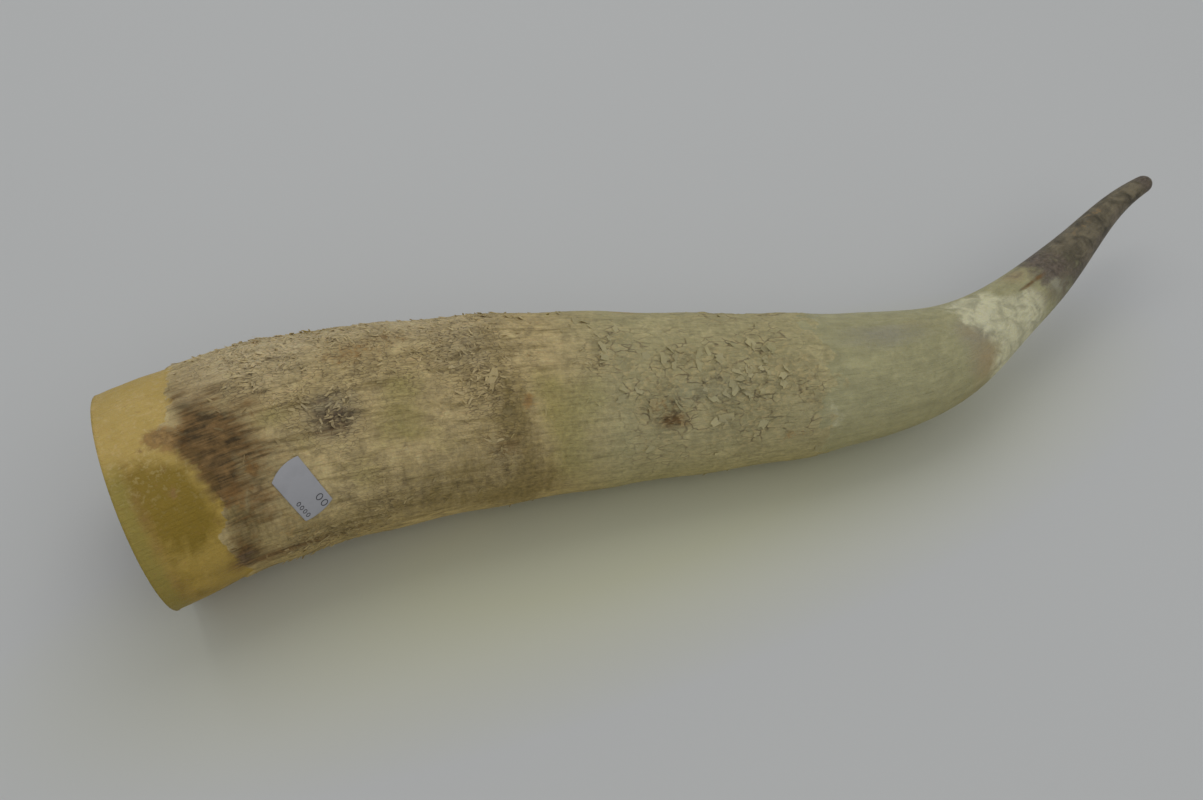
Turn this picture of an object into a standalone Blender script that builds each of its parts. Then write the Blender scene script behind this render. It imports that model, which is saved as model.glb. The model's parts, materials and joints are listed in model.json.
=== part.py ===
"""A watusi horn, sawn off at its base and lying on its side, with a small price label stuck to it."""

import math

import bmesh
import bpy
import numpy as np

MM = 0.001

# Course of the horn from the sawn base to the tip, in millimetres:
# x, y and z of the middle of the horn, and its half width there
COURSE = (
    (-253, 23, 45, 46.0),
    (-212, 29, 44, 45.5),
    (-146, 25, 41, 43.0),
    (-74, 11, 37.5, 39.5),
    (-2, -8, 33, 34.5),
    (67, -25, 32, 29.0),
    (105, -28, 33, 23.0),
    (140, -21, 36, 16.0),
    (170, -11, 38, 12.8),
    (203, 3, 41, 8.9),
    (241, 18, 45, 5.2),
    (257, 21, 47, 4.0),
)
COURSE_STEPS = 1500

# The section is a slightly flattened oval, wider than it is high by this share each way
OVAL = 0.06
TIP_ROUNDING = 5.0
# Rings inside the rounding of the tip, as shares of its length
TIP_RING_SHARES = (0.4, 0.7, 0.92)
# The relief fades out over this length before the tip
TIP_FADE = 60.0

# The saw cut: a point on its plane and the way its face looks
SAW_POINT = (-252.2, 22, 44)
SAW_FACE = (-0.994, 0.0, -0.111)
SAW_BLEND = 60.0

# The hollow inside: wall at the rim, and how far the hollow reaches up the horn
RIM_WALL = 4.5
HOLLOW_DEPTH = 326.0
HOLLOW_TAPER = 1.6
HOLLOW_END = 0.4

# Mesh: sides around the horn, and how far apart the rings are on the bark and where it is smooth
SIDES = 36
HOLLOW_RINGS = 14
BARK_SPACING = 4.6
SMOOTH_SPACING = 8.5
LEDGE_GAP = 1.4

# Edge of the bark near the base: angle around the horn in degrees and distance from the base.
# Angles run from the far side over the top (90) to the near side (180) and underneath (270)
BARK_EDGE = (
    (0, 30), (40, 33), (66, 29), (84, 24), (93, 20), (99, 12), (106, 20), (118, 26), (141, 30),
    (157, 22), (175, 26), (197, 30), (225, 25), (250, 33), (280, 27), (310, 34), (335, 26),
)
BARK_EDGE_MEAN = 27.0
BARK_RISE = 0.8

# Ledges of old horn layers: where their rows start, how far apart they are and how many there are
LEDGE_ROWS = ((43.0, 13.0, 10), (200.0, 12.5, 8))
CRUST_END = 297.0
LEDGE_RISE = 1.5
LEDGE_WAVE = 3.2
# Every ledge is broken up around the horn: its mean height and how much that varies
LEDGE_MEAN_SHARE = 0.65
LEDGE_VARIATION = 0.35
# Flakiness of the bark where no flaky patch is, and how far beyond a ledge its patch is read
PLAIN_FLAKINESS = 0.12
LEDGE_LOOK_AHEAD = 5.0

# The side that the horn lies on is worn smooth: its angle and its reach to either side, in degrees
WORN_ANGLE = 270.0
WORN_REACH = 24.0
WORN_BORDER = 14.0

# Flaky patches of the bark: distance from the base, angle, reach along, reach in degrees, strength
FLAKY_PATCHES = (
    (62, 60, 18, 34, 0.9), (84, 114, 14, 17, 0.9), (104, 78, 20, 26, 0.7), (142, 76, 20, 34, 1.0),
    (100, 165, 24, 24, 0.5), (150, 140, 14, 26, 0.5), (210, 108, 18, 26, 0.7), (240, 118, 22, 26, 1.0),
    (268, 116, 18, 34, 0.9), (292, 140, 12, 50, 0.7), (225, 160, 20, 26, 0.6), (70, 235, 22, 34, 0.6),
    (120, 290, 30, 40, 0.7), (150, 345, 26, 34, 0.8), (90, 10, 26, 34, 0.8), (235, 290, 30, 44, 0.7),
    (262, 20, 26, 40, 0.8), (205, 230, 22, 34, 0.5),
)

# Broad undulations left by yearly growth
GROWTH_WAVE = 0.35
GROWTH_LENGTH = 47.0

# Pit in the bark: distance from the base, angle, radius and depth
PIT_PLACE = (46.0, 131.0)
PIT_RADIUS = 5.0
PIT_DEPTH = 1.3

# Price label: middle, slant of its long side against the length of the horn, size and curved ends
LABEL_PLACE = (64.0, 148.0)
LABEL_SLANT = math.radians(63)
LABEL_LENGTH = 26.0
LABEL_WIDTH = 16.0
LABEL_END_BULGE = 1.5
LABEL_THICKNESS = 0.4
LABEL_GAP = 0.3
LABEL_STEPS = (10, 6)
# The bark is plain as far as this from the middle of the label, and the ledges are back after a border
LABEL_CLEARING = 15.0
LABEL_BORDER = 10.0

HORN_COLOUR = (0.36, 0.31, 0.17, 1.0)
LABEL_COLOUR = (0.72, 0.72, 0.74, 1.0)


def clear_scene():
    for item in list(bpy.data.objects):
        bpy.data.objects.remove(item, do_unlink=True)


def make_material(name, colour, roughness):
    material = bpy.data.materials.new(name)
    material.use_nodes = True
    shader = material.node_tree.nodes["Principled BSDF"]
    shader.inputs["Base Color"].default_value = colour
    shader.inputs["Roughness"].default_value = roughness
    shader.inputs["Metallic"].default_value = 0.0
    return material


def natural_spline(knots, values, at):
    """Smooth curve through the values at the knots, with no bend at either end."""
    count = len(knots)
    gap = np.diff(knots)[:, None]
    matrix = np.eye(count)
    right = np.zeros_like(values)
    for row in range(1, count - 1):
        matrix[row, row - 1] = gap[row - 1, 0]
        matrix[row, row] = 2 * (gap[row - 1, 0] + gap[row, 0])
        matrix[row, row + 1] = gap[row, 0]
        after = (values[row + 1] - values[row]) / gap[row]
        before = (values[row] - values[row - 1]) / gap[row - 1]
        right[row] = 6 * (after - before)
    bend = np.linalg.solve(matrix, right)
    cell = np.clip(np.searchsorted(knots, at) - 1, 0, count - 2)
    width = gap[cell]
    after = (knots[cell + 1] - at)[:, None]
    before = (at - knots[cell])[:, None]
    cubic = (bend[cell] * after**3 + bend[cell + 1] * before**3) / (6 * width)
    start = (values[cell] / width - bend[cell] * width / 6) * after
    end = (values[cell + 1] / width - bend[cell + 1] * width / 6) * before
    return cubic + start + end


def measured_course():
    """The horn's middle and half width at close steps, with the distance along it."""
    course = np.array(COURSE, dtype=float)
    chords = np.linalg.norm(np.diff(course[:, :3], axis=0), axis=1)
    knots = np.concatenate(([0.0], np.cumsum(chords)))
    points = natural_spline(knots, course, np.linspace(0.0, knots[-1], COURSE_STEPS))
    steps = np.linalg.norm(np.diff(points[:, :3], axis=0), axis=1)
    return np.concatenate(([0.0], np.cumsum(steps))), points


DISTANCE, MIDDLE = measured_course()
LENGTH = DISTANCE[-1]


def middle_at(s):
    """Middle of the horn at a distance s, carried straight on beyond the base."""
    inside = np.clip(s, 0.0, LENGTH)
    point = np.stack([np.interp(inside, DISTANCE, MIDDLE[:, axis]) for axis in range(3)], axis=-1)
    return point + np.minimum(s, 0.0)[..., None] * direction_at(inside)


def direction_at(s):
    """Direction of the middle line, from its places half a millimetre ahead and behind."""
    ahead = np.clip(s + 0.5, 0.0, LENGTH)
    behind = np.clip(s - 0.5, 0.0, LENGTH)
    steps = []
    for axis in range(3):
        places = MIDDLE[:, axis]
        steps.append(np.interp(ahead, DISTANCE, places) - np.interp(behind, DISTANCE, places))
    step = np.stack(steps, axis=-1)
    return step / np.linalg.norm(step, axis=-1, keepdims=True)


def section_axes(s):
    """Sideways and upward directions of the oval section at a distance s."""
    along = direction_at(np.clip(s, 0.0, LENGTH))
    side = np.cross(np.array([0.0, 0.0, 1.0]), along)
    side /= np.linalg.norm(side, axis=-1, keepdims=True)
    return side, np.cross(along, side)


def half_width(s):
    """Half width of the smooth horn, closing in a round tip."""
    width = np.interp(np.clip(s, 0.0, LENGTH), DISTANCE, MIDDLE[:, 3])
    into_tip = np.clip((s - (LENGTH - TIP_ROUNDING)) / TIP_ROUNDING, 0.0, 1.0)
    return width * np.sqrt(1.0 - into_tip**2)


def surface_point(s, angle, radius, height):
    """Point on the oval section of the given radius, raised by a height."""
    side, up = section_axes(s)
    across = (radius * (1 + OVAL) + height) * np.cos(angle)
    above = (radius * (1 - OVAL) + height) * np.sin(angle)
    return middle_at(s) + across[..., None] * side + above[..., None] * up


def around(points, angle):
    """Value at an angle, from a closed list of (degrees, value)."""
    degrees = np.array([point[0] for point in points], dtype=float)
    values = np.array([point[1] for point in points], dtype=float)
    return np.interp(np.degrees(angle) % 360, np.append(degrees, 360.0), np.append(values, values[0]))


def ledge_lines():
    """Mean distance of the bark edge, of every ledge and of the end of the crust."""
    lines = [BARK_EDGE_MEAN]
    for start, spacing, count in LEDGE_ROWS:
        lines += [start + spacing * number for number in range(count)]
    return lines + [CRUST_END]


def wavy_line(number, angle):
    """Ragged course of one ledge around the horn, different for every ledge."""
    wave = np.zeros_like(angle)
    for turns in (2, 3, 5, 9):
        phase = 2.4 * number + 1.7 * turns + 0.9 * number * turns
        wave += np.sin(turns * angle + phase) / math.sqrt(turns)
    return LEDGE_WAVE * wave / 1.6


def saw_shift(angle, radius):
    """How far along the horn the saw plane lies at each angle."""
    face = np.array(SAW_FACE)
    start = np.zeros_like(angle)
    points = surface_point(start, angle, radius, start)
    along = direction_at(start)
    return (np.array(SAW_POINT) - points) @ face / (along @ face)


def line_shifts(angle):
    """Distances of the guide lines, and how far each one strays at every angle."""
    lines = ledge_lines()
    shifts = [around(BARK_EDGE, angle) - BARK_EDGE_MEAN]
    shifts += [wavy_line(number, angle) for number in range(1, len(lines))]
    stations = [0.0] + lines + [CRUST_END + 4 * LEDGE_WAVE, LENGTH]
    still = np.zeros_like(angle)
    return stations, [saw_shift(angle, half_width(still))] + shifts + [still, still]


def ring_distances(u, angle):
    """True distance along the horn of a ring that is named by its mean distance u."""
    stations, shifts = line_shifts(angle)
    table = np.array(shifts)
    return u + np.array([np.interp(u, stations, table[:, column]) for column in range(len(angle))])


def degrees_apart(angle, degrees):
    return (np.degrees(angle) - degrees + 180.0) % 360.0 - 180.0


def flakiness(u, angle):
    """Strength of the flaky bark, from 0 to 1."""
    total = np.full_like(angle, PLAIN_FLAKINESS)
    for place, degrees, reach, spread, strength in FLAKY_PATCHES:
        across = degrees_apart(angle, degrees) / spread
        total += strength * np.exp(-((u - place) / reach) ** 2 - across**2)
    return np.clip(total, 0.0, 1.0)


def unworn(angle):
    """0 on the worn side that the horn lies on, 1 elsewhere."""
    beyond = np.abs(degrees_apart(angle, WORN_ANGLE)) - WORN_REACH
    return np.clip(beyond / WORN_BORDER, 0.0, 1.0)


def surface_distance(u, angle, place):
    """Distance over the surface from a place given by its distance from the base and its angle."""
    arc = np.radians(degrees_apart(angle, place[1])) * half_width(np.full_like(angle, place[0]))
    return np.hypot(u - place[0], arc)


def ledge_height(u, angle):
    """Each layer starts with a step up on its base side and thins out towards the next one."""
    lines = ledge_lines()
    if u < lines[0]:
        return np.zeros_like(angle)
    number = sum(1 for line in lines if line <= u) - 1
    if number == len(lines) - 1:
        return np.zeros_like(angle)
    share = (u - lines[number]) / (lines[number + 1] - lines[number])
    broken = np.sin(4 * angle + 1.9 * number) * np.sin(7 * angle - 2.3 * number)
    ragged = LEDGE_MEAN_SHARE + LEDGE_VARIATION * broken
    flaky = flakiness(lines[number] + LEDGE_LOOK_AHEAD, angle) * unworn(angle)
    return LEDGE_RISE * ragged * flaky * (1.0 - share)


def relief(u, angle):
    """Height of the bark, its ledges, the growth waves and the pit over the smooth horn."""
    on_bark = BARK_EDGE_MEAN <= u <= CRUST_END + SMOOTH_SPACING
    bark = BARK_RISE / 2 if on_bark else -BARK_RISE / 2
    beyond_label = surface_distance(u, angle, LABEL_PLACE) - LABEL_CLEARING
    away_from_label = np.clip(beyond_label / LABEL_BORDER, 0.0, 1.0)
    height = bark + ledge_height(u, angle) * away_from_label
    height += GROWTH_WAVE * math.sin(2 * math.pi * u / GROWTH_LENGTH) * away_from_label
    to_pit = surface_distance(u, angle, PIT_PLACE) / PIT_RADIUS
    height -= PIT_DEPTH * np.exp(-(to_pit**2))
    return height * np.clip((LENGTH - u) / TIP_FADE, 0.0, 1.0)


def ring_stations():
    """Mean distances of all rings: pairs at each ledge, rings between them, and an even smooth part."""
    stations = [0.0]
    for line in ledge_lines():
        stations += steps_between(stations[-1], line - LEDGE_GAP / 2, BARK_SPACING)
        stations.append(line + LEDGE_GAP / 2)
    stations += steps_between(stations[-1], LENGTH - TIP_ROUNDING, SMOOTH_SPACING)
    return stations + [LENGTH - TIP_ROUNDING * (1 - share) for share in TIP_RING_SHARES]


def steps_between(start, end, spacing):
    """Even steps of about the spacing after the start, up to the end."""
    count = max(1, round((end - start) / spacing))
    return [start + (end - start) * step / count for step in range(1, count + 1)]


def outer_rings(angle):
    rings = []
    for u in ring_stations():
        s = ring_distances(u, angle)
        points = surface_point(s, angle, half_width(s), relief(u, angle))
        rings.append(onto_saw_plane(points) if u == 0.0 else points)
    return rings


def inner_radius(s):
    share = np.clip(s / HOLLOW_DEPTH, 0.0, 1.0)
    return np.maximum((half_width(s) - RIM_WALL) * (1.0 - share**HOLLOW_TAPER), HOLLOW_END)


def inner_rings(angle):
    rings = []
    for number in range(HOLLOW_RINGS):
        u = HOLLOW_DEPTH * number / HOLLOW_RINGS
        lean = max(0.0, 1.0 - u / SAW_BLEND)
        still = np.zeros_like(angle)
        s = u + saw_shift(angle, inner_radius(still)) * lean
        points = surface_point(s, angle, inner_radius(s), still)
        rings.append(onto_saw_plane(points) if number == 0 else points)
    return rings


def onto_saw_plane(points):
    face = np.array(SAW_FACE) / np.linalg.norm(SAW_FACE)
    along = direction_at(np.array([0.0]))[0]
    return points + ((np.array(SAW_POINT) - points) @ face / (along @ face))[:, None] * along


def add_ring(mesh, points):
    return [mesh.verts.new(point * MM) for point in points]


def join_rings(mesh, first, second):
    """Quads between two rings; seen from outside, the first ring lies towards the base."""
    count = len(first)
    for index in range(count):
        after = (index + 1) % count
        mesh.faces.new((first[index], first[after], second[after], second[index]))


def close_ring(mesh, ring, pole):
    count = len(ring)
    for index in range(count):
        mesh.faces.new((ring[index], ring[(index + 1) % count], pole))


def finish_object(mesh, name, material, sharp_angle):
    bmesh.ops.recalc_face_normals(mesh, faces=mesh.faces)
    data = bpy.data.meshes.new(name)
    mesh.to_mesh(data)
    mesh.free()
    data.shade_smooth()
    data.set_sharp_from_angle(angle=math.radians(sharp_angle))
    data.materials.append(material)
    item = bpy.data.objects.new(name, data)
    bpy.context.scene.collection.objects.link(item)
    return item


def build_horn():
    """The whole sheath: outside with its bark, hollow from the rim, solid towards the tip."""
    # Half a step of turn lays the middle of a side underneath, where the horn lies on it
    angle = (np.arange(SIDES) + 0.5) * 2 * math.pi / SIDES
    mesh = bmesh.new()
    outer = [add_ring(mesh, points) for points in outer_rings(angle)]
    for first, second in zip(outer, outer[1:]):
        join_rings(mesh, first, second)
    tip = middle_at(np.array([LENGTH]))[0]
    close_ring(mesh, outer[-1], mesh.verts.new(tip * MM))
    inner = [add_ring(mesh, points) for points in inner_rings(angle)]
    for first, second in zip(inner, inner[1:]):
        join_rings(mesh, second, first)
    bottom = middle_at(np.array([HOLLOW_DEPTH]))[0]
    close_ring(mesh, inner[-1][::-1], mesh.verts.new(bottom * MM))
    join_rings(mesh, inner[0], outer[0])
    return finish_object(mesh, "horn", make_material("horn", HORN_COLOUR, 0.5), 40)


def label_outline_reach(share):
    """Half length of the label at a share of its half width: its ends bulge."""
    return LABEL_LENGTH / 2 - LABEL_END_BULGE * share**2


def label_point(along, across, height):
    """Point of the label: along and across its own sides, laid on the bark."""
    place, degrees = LABEL_PLACE
    s = np.array([place + along * math.cos(LABEL_SLANT) + across * math.sin(LABEL_SLANT)])
    sideways = along * math.sin(LABEL_SLANT) - across * math.cos(LABEL_SLANT)
    angle = np.radians(degrees) + sideways / half_width(s)
    return surface_point(s, angle, half_width(s), np.array([BARK_RISE / 2 + LABEL_GAP + height]))[0]


def build_label():
    """Thin paper label that follows the curve of the horn."""
    long_steps, cross_steps = LABEL_STEPS
    mesh = bmesh.new()
    sheets = []
    for height in (0.0, LABEL_THICKNESS):
        rows = []
        for row in range(cross_steps + 1):
            share = 2 * row / cross_steps - 1
            reach = label_outline_reach(share)
            steps = [reach * (2 * step / long_steps - 1) for step in range(long_steps + 1)]
            points = [label_point(along, share * LABEL_WIDTH / 2, height) for along in steps]
            rows.append([mesh.verts.new(point * MM) for point in points])
        sheets.append(rows)
    for rows in sheets:
        for first, second in zip(rows, rows[1:]):
            for step in range(long_steps):
                mesh.faces.new((first[step], first[step + 1], second[step + 1], second[step]))
    loops = []
    for rows in sheets:
        right = [row[-1] for row in rows[1:-1]]
        left = [row[0] for row in rows[1:-1]]
        loops.append(rows[0] + right + rows[-1][::-1] + left[::-1])
    join_rings(mesh, loops[0], loops[1])
    return finish_object(mesh, "price_label", make_material("paper", LABEL_COLOUR, 0.6), 40)


def stand_on_origin(items):
    """Move the model so that the middle of its lowest level is at the origin."""
    corners = np.array([vertex.co for item in items for vertex in item.data.vertices])
    low, high = corners.min(axis=0), corners.max(axis=0)
    shift = np.array([(low[0] + high[0]) / 2, (low[1] + high[1]) / 2, low[2]])
    for item in items:
        for vertex in item.data.vertices:
            vertex.co = vertex.co - type(vertex.co)(shift)
        item.data.update()


def main():
    clear_scene()
    stand_on_origin([build_horn(), build_label()])


main()
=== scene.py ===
"""Looks of a watusi horn: sheath with bark, curls and scales, price label, floor, light and camera.

The file is laid out as an add-on with one operator for each piece, and runs as a script.
"""

import json
import math
from types import SimpleNamespace

import bmesh
import bpy
import numpy as np
from bpy.props import FloatProperty, FloatVectorProperty, IntProperty, PointerProperty
from bpy.types import Operator, Panel, PropertyGroup
from mathutils import Matrix

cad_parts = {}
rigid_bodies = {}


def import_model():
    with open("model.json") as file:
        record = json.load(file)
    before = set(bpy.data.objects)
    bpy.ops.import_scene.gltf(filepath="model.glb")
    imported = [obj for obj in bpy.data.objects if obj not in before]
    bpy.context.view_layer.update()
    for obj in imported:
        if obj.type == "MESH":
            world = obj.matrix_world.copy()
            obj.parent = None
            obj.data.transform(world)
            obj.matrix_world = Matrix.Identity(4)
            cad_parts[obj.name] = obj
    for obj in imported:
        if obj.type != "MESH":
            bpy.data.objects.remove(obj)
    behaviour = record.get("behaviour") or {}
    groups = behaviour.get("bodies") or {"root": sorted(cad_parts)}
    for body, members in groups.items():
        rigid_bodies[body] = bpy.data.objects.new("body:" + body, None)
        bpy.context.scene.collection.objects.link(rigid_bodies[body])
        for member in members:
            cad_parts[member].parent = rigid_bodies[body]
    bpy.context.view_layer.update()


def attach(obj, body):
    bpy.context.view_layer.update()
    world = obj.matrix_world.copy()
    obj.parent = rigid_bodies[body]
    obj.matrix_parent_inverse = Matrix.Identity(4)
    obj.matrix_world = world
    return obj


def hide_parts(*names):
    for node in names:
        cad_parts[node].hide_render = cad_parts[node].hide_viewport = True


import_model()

bl_info = {
    "name": "Watusi horn",
    "version": (1, 0, 0),
    "blender": (4, 5, 0),
    "location": "3D View > Sidebar > Horn",
    "description": "Builds a sawn watusi horn with flaky bark and its price label",
    "category": "Add Mesh",
}

MM = 0.001

# Rings of the skin: where the close ones end, in millimetres, how much wider the others stand,
# and the shares of the rounded tip at which the last ones lie
CLOSE_RINGS_END = 302
WIDER_RINGS = 1.55
TIP_RINGS = (0.25, 0.45, 0.62, 0.76, 0.87, 0.95, 0.99)
# Distance over which the rings turn from the saw's plane to square with the horn, in millimetres
LEAN_END = 60
# Rings of the hollow, and the power by which it narrows
HOLLOW_RINGS = 26
HOLLOW_TAPER = 1.6

# Curls and scales of bark: length and width as shares of their size, how far their free end
# bends up, and how far they turn out of line, in radians; faces along and across each of them
CURL_SHAPE = ((1.0, 0.20), 0.12, 0.9)
SCALE_SHAPE = ((1.0, 0.6), 0.13, 0.5)
FLAKE_STEPS = (4, 3)

# Course of the horn from the sawn base to the tip, in millimetres:
# x, y and z of the middle of the horn, and its half width there
COURSE = (
    (-253, 23, 45, 46.0),
    (-212, 29, 44, 45.5),
    (-146, 25, 41, 43.0),
    (-74, 11, 37.5, 39.5),
    (-2, -8, 33, 34.5),
    (67, -25, 32, 29.0),
    (105, -28, 33, 23.0),
    (140, -21, 36, 16.0),
    (170, -11, 38, 12.8),
    (203, 3, 41, 8.9),
    (241, 18, 45, 5.2),
    (257, 21, 47, 4.0),
)
# Where the part's origin lies among these places, in millimetres
COURSE_ORIGIN = (-0.05, 13.03, 0.87)

# The saw cut: a point on its plane and the way its face looks
SAW_POINT = (-252.2, 22.0, 44.0)
SAW_FACE = (-0.994, 0.0, -0.111)

# Edge of the bark near the base: angle around the horn in degrees and distance from the base.
# Angles run from the far side over the top (90) to the near side (180) and underneath (270)
BARK_EDGE = (
    (0, 30), (40, 33), (66, 29), (84, 24), (93, 21), (97, 13), (101, 12), (105, 19), (112, 25),
    (129, 28), (141, 30), (157, 22), (175, 26), (197, 30), (225, 25), (250, 33), (280, 27),
    (310, 34), (335, 26),
)
CRUST_END = 297.0

# Flaky patches of the bark: distance from the base, angle, reach along, reach in degrees, strength
FLAKY_PATCHES = (
    (60, 62, 17, 34, 0.9), (84, 113, 13, 15, 1.0), (104, 76, 22, 24, 0.7), (142, 72, 20, 34, 1.0),
    (150, 108, 9, 14, 0.7), (100, 165, 22, 20, 0.35), (150, 150, 14, 22, 0.3),
    (72, 184, 22, 12, 0.5), (203, 92, 12, 22, 0.8), (216, 128, 12, 16, 0.7),
    (240, 112, 20, 26, 1.0), (258, 122, 18, 24, 1.0), (270, 104, 14, 22, 0.8),
    (292, 130, 9, 34, 0.8), (222, 160, 20, 20, 0.3), (262, 158, 16, 18, 0.5),
    (70, 235, 22, 34, 0.5), (120, 290, 30, 40, 0.7), (150, 345, 26, 34, 0.8),
    (90, 10, 26, 34, 0.8), (235, 290, 30, 44, 0.7), (262, 20, 26, 40, 0.8),
    (205, 230, 22, 34, 0.4),
)

# Coloured patches of the surface, in the same terms
COLOUR_PATCHES = {
    "stain": (
        (32, 98, 7, 11, 1.1), (38, 108, 10, 9, 1.0), (33, 126, 7, 12, 1.0), (46, 118, 12, 11, 0.7),
        (45, 138, 10, 10, 0.6), (58, 128, 10, 9, 0.35), (54, 98, 14, 8, 0.3), (25, 108, 5, 7, 0.9),
        (28, 117, 5, 7, 0.9), (30, 131, 5, 9, 0.8), (29, 84, 4, 10, 0.6), (46, 88, 10, 12, 0.45),
        (82, 116, 12, 12, 0.6), (30, 178, 8, 8, 0.8), (42, 184, 16, 5, 0.9), (70, 186, 22, 4, 0.6),
        (36, 230, 10, 30, 0.7), (38, 300, 12, 30, 0.8), (34, 350, 9, 26, 0.7),
        (226, 142, 8, 8, 0.9), (34, 154, 9, 14, 0.55), (48, 150, 11, 9, 0.45),
        (30, 167, 6, 8, 0.6), (152, 148, 12, 12, 0.4), (56, 166, 12, 8, 0.35),
        (425, 97, 4, 5, 1.0), (417, 95, 4, 4, 1.0), (411, 94, 3, 3, 0.8),
    ),
    "rust": (
        (17, 100, 6, 5, 1.1), (22, 105, 6, 5, 1.0), (13, 98, 3, 3, 0.6), (36, 140, 7, 9, 0.8),
        (46, 131, 3.2, 3.6, 1.3), (95, 80, 14, 8, 0.6), (114, 70, 10, 8, 0.4),
        (165, 122, 3.5, 4.5, 0.9), (12, 127, 2.6, 3, 0.7), (4, 161, 2.6, 3, 0.5),
        (13, 115, 2.4, 2.6, 0.5), (8, 102, 1, 1.2, 1.0), (222, 132, 7, 7, 0.5),
        (282, 165, 12, 10, 0.4), (478, 70, 24, 30, 0.3), (60, 170, 16, 14, 0.35),
        (120, 230, 20, 20, 0.4), (215, 40, 14, 18, 0.4),
    ),
    "window": (
        (60, 109, 10, 6, 0.8), (114, 106, 12, 11, 0.8), (111, 126, 14, 10, 0.8),
        (180, 130, 12, 20, 0.8), (193, 120, 8, 14, 0.8), (172, 112, 8, 12, 0.6),
        (185, 168, 12, 16, 0.6), (276, 98, 10, 10, 0.5), (70, 124, 8, 6, 0.5),
        (130, 140, 10, 10, 0.4), (180, 250, 18, 60, 0.8), (185, 10, 16, 50, 0.9),
        (112, 250, 14, 24, 0.7), (92, 148, 12, 12, 0.5), (180, 150, 10, 20, 0.5),
        (204, 150, 9, 16, 0.5),
    ),
    "olive": (
        (155, 94, 7, 12, 0.5), (158, 113, 8, 10, 0.7), (159, 130, 7, 11, 1.0),
        (163, 148, 10, 13, 0.55), (164, 168, 13, 13, 0.8), (228, 130, 13, 13, 0.7),
        (262, 138, 12, 12, 0.5), (280, 150, 14, 14, 0.6), (112, 148, 26, 10, 0.4),
        (66, 172, 22, 10, 0.6), (146, 132, 10, 12, 0.4), (120, 170, 16, 14, 0.7),
        (140, 158, 12, 14, 0.5), (98, 168, 14, 12, 0.4), (150, 182, 26, 10, 0.8),
        (84, 186, 30, 8, 0.5), (250, 182, 60, 12, 0.4), (366, 186, 14, 16, 0.5),
        (60, 156, 9, 9, 0.4), (36, 156, 14, 14, 0.7), (30, 174, 9, 12, 0.6), (30, 146, 6, 8, 0.6),
        (160, 230, 16, 50, 0.7), (150, 320, 14, 60, 0.6),
    ),
    "grey": (
        (84, 113, 14, 15, 0.8), (142, 84, 18, 24, 0.5), (210, 100, 14, 26, 0.4),
        (236, 124, 14, 10, 0.8), (256, 122, 12, 12, 0.6), (330, 88, 26, 16, 0.7),
        (376, 112, 12, 26, 0.9), (370, 150, 10, 20, 0.4), (432, 130, 10, 40, 0.9),
        (300, 300, 30, 60, 0.5),
    ),
    "cream": (
        (390, 100, 13, 26, 1.0), (400, 150, 17, 40, 1.1), (408, 118, 9, 20, 0.9),
        (384, 62, 14, 20, 0.8), (386, 178, 12, 26, 0.7), (376, 92, 4, 8, 0.8),
        (381, 104, 3, 8, 0.9), (300, 150, 8, 20, 0.4), (396, 260, 14, 80, 0.8),
        (12, 350, 20, 60, 0.5), (60, 66, 24, 30, 0.9), (130, 60, 34, 24, 0.6),
        (90, 50, 40, 16, 0.5),
    ),
    "mauve": (
        (38, 72, 10, 16, 1.0), (34, 84, 6, 8, 0.8), (374, 150, 10, 34, 1.0),
        (370, 100, 9, 14, 0.4), (418, 60, 9, 26, 0.9), (350, 80, 14, 12, 0.4),
        (60, 300, 20, 50, 0.4),
    ),
    "soot": (
        (434, 60, 9, 34, 1.0), (438, 104, 8, 20, 1.1), (428, 112, 7, 9, 0.8),
        (446, 150, 14, 26, 0.6), (436, 20, 8, 26, 0.8), (448, 250, 14, 60, 0.7),
        (521, 90, 5, 200, 1.0), (84, 112, 11, 12, 0.45), (30, 178, 6, 7, 0.5),
        (496, 150, 12, 30, 0.5), (474, 160, 10, 26, 0.5),
    ),
    "amber": (
        (6, 128, 13, 17, 1.2), (17, 140, 8, 14, 0.8), (0, 112, 7, 9, 0.5), (8, 150, 12, 12, 0.6),
        (0, 178, 12, 16, 0.35), (4, 215, 18, 30, 0.5), (14, 122, 7, 9, 0.7),
    ),
}

# A shallow pit and a small hole beside the label, in the same terms, with their depth in millimetres
PIT = ((46.0, 131.0, 3.4, 3.6, 0.9),)
HOLE = ((46.0, 140.5, 1.3, 1.4, 1.0),)

# Stretches of the horn where one look passes into the next, in metres from the base
FLAT_FLAKES_FROM = (0.175, 0.205)
SMOOTH_FROM = (0.200, 0.206)
TIP_FROM = (0.455, 0.482)

# Painted shade on the underside, from one height over the horn's middle down to another, and where
# it ends along the horn, in metres; painted shade on the ground between flakes
UNDERSIDE_SHADE = (0.90, 0.86, 0.72)
UNDERSIDE_BELOW = (0.018, -0.010)
UNDERSIDE_UNTIL = (0.42, 0.36)
GROUND_SHADE = (0.48, 0.44, 0.38)

# Paper and ink of the label, in millimetres: how far the paper rises over the plain oval, how
# much more its corners do, its thickness, the gap under the ink and the thickness of the ink
PAPER_RISE = 0.75
CORNER_RISE = 0.7
PAPER_THICKNESS = 0.12
INK_GAP = 0.025
INK_THICKNESS = 0.03

# Half size of the floor in metres, and the painted warm glow on it beside the horn
FLOOR_REACH = 6.0
PAINTED_FLOOR_GLOW = (1.0, 0.985, 0.74)

# Soft panels of light and the camera, in metres
PANEL_SIZE = (1.3, 0.9)
PANEL_HEIGHT = 1.25
CAMERA_PLACE = (-0.1964, -0.3132, 0.4801)


def length_value(name, description, default):
    """Length that a user can change; its default is given in millimetres."""
    return FloatProperty(name=name, description=description, default=default * MM, unit="LENGTH")


def angle_value(name, description, default):
    """Angle that a user can change; its default is given in degrees."""
    return FloatProperty(
        name=name, description=description, default=math.radians(default), subtype="ANGLE")


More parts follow.
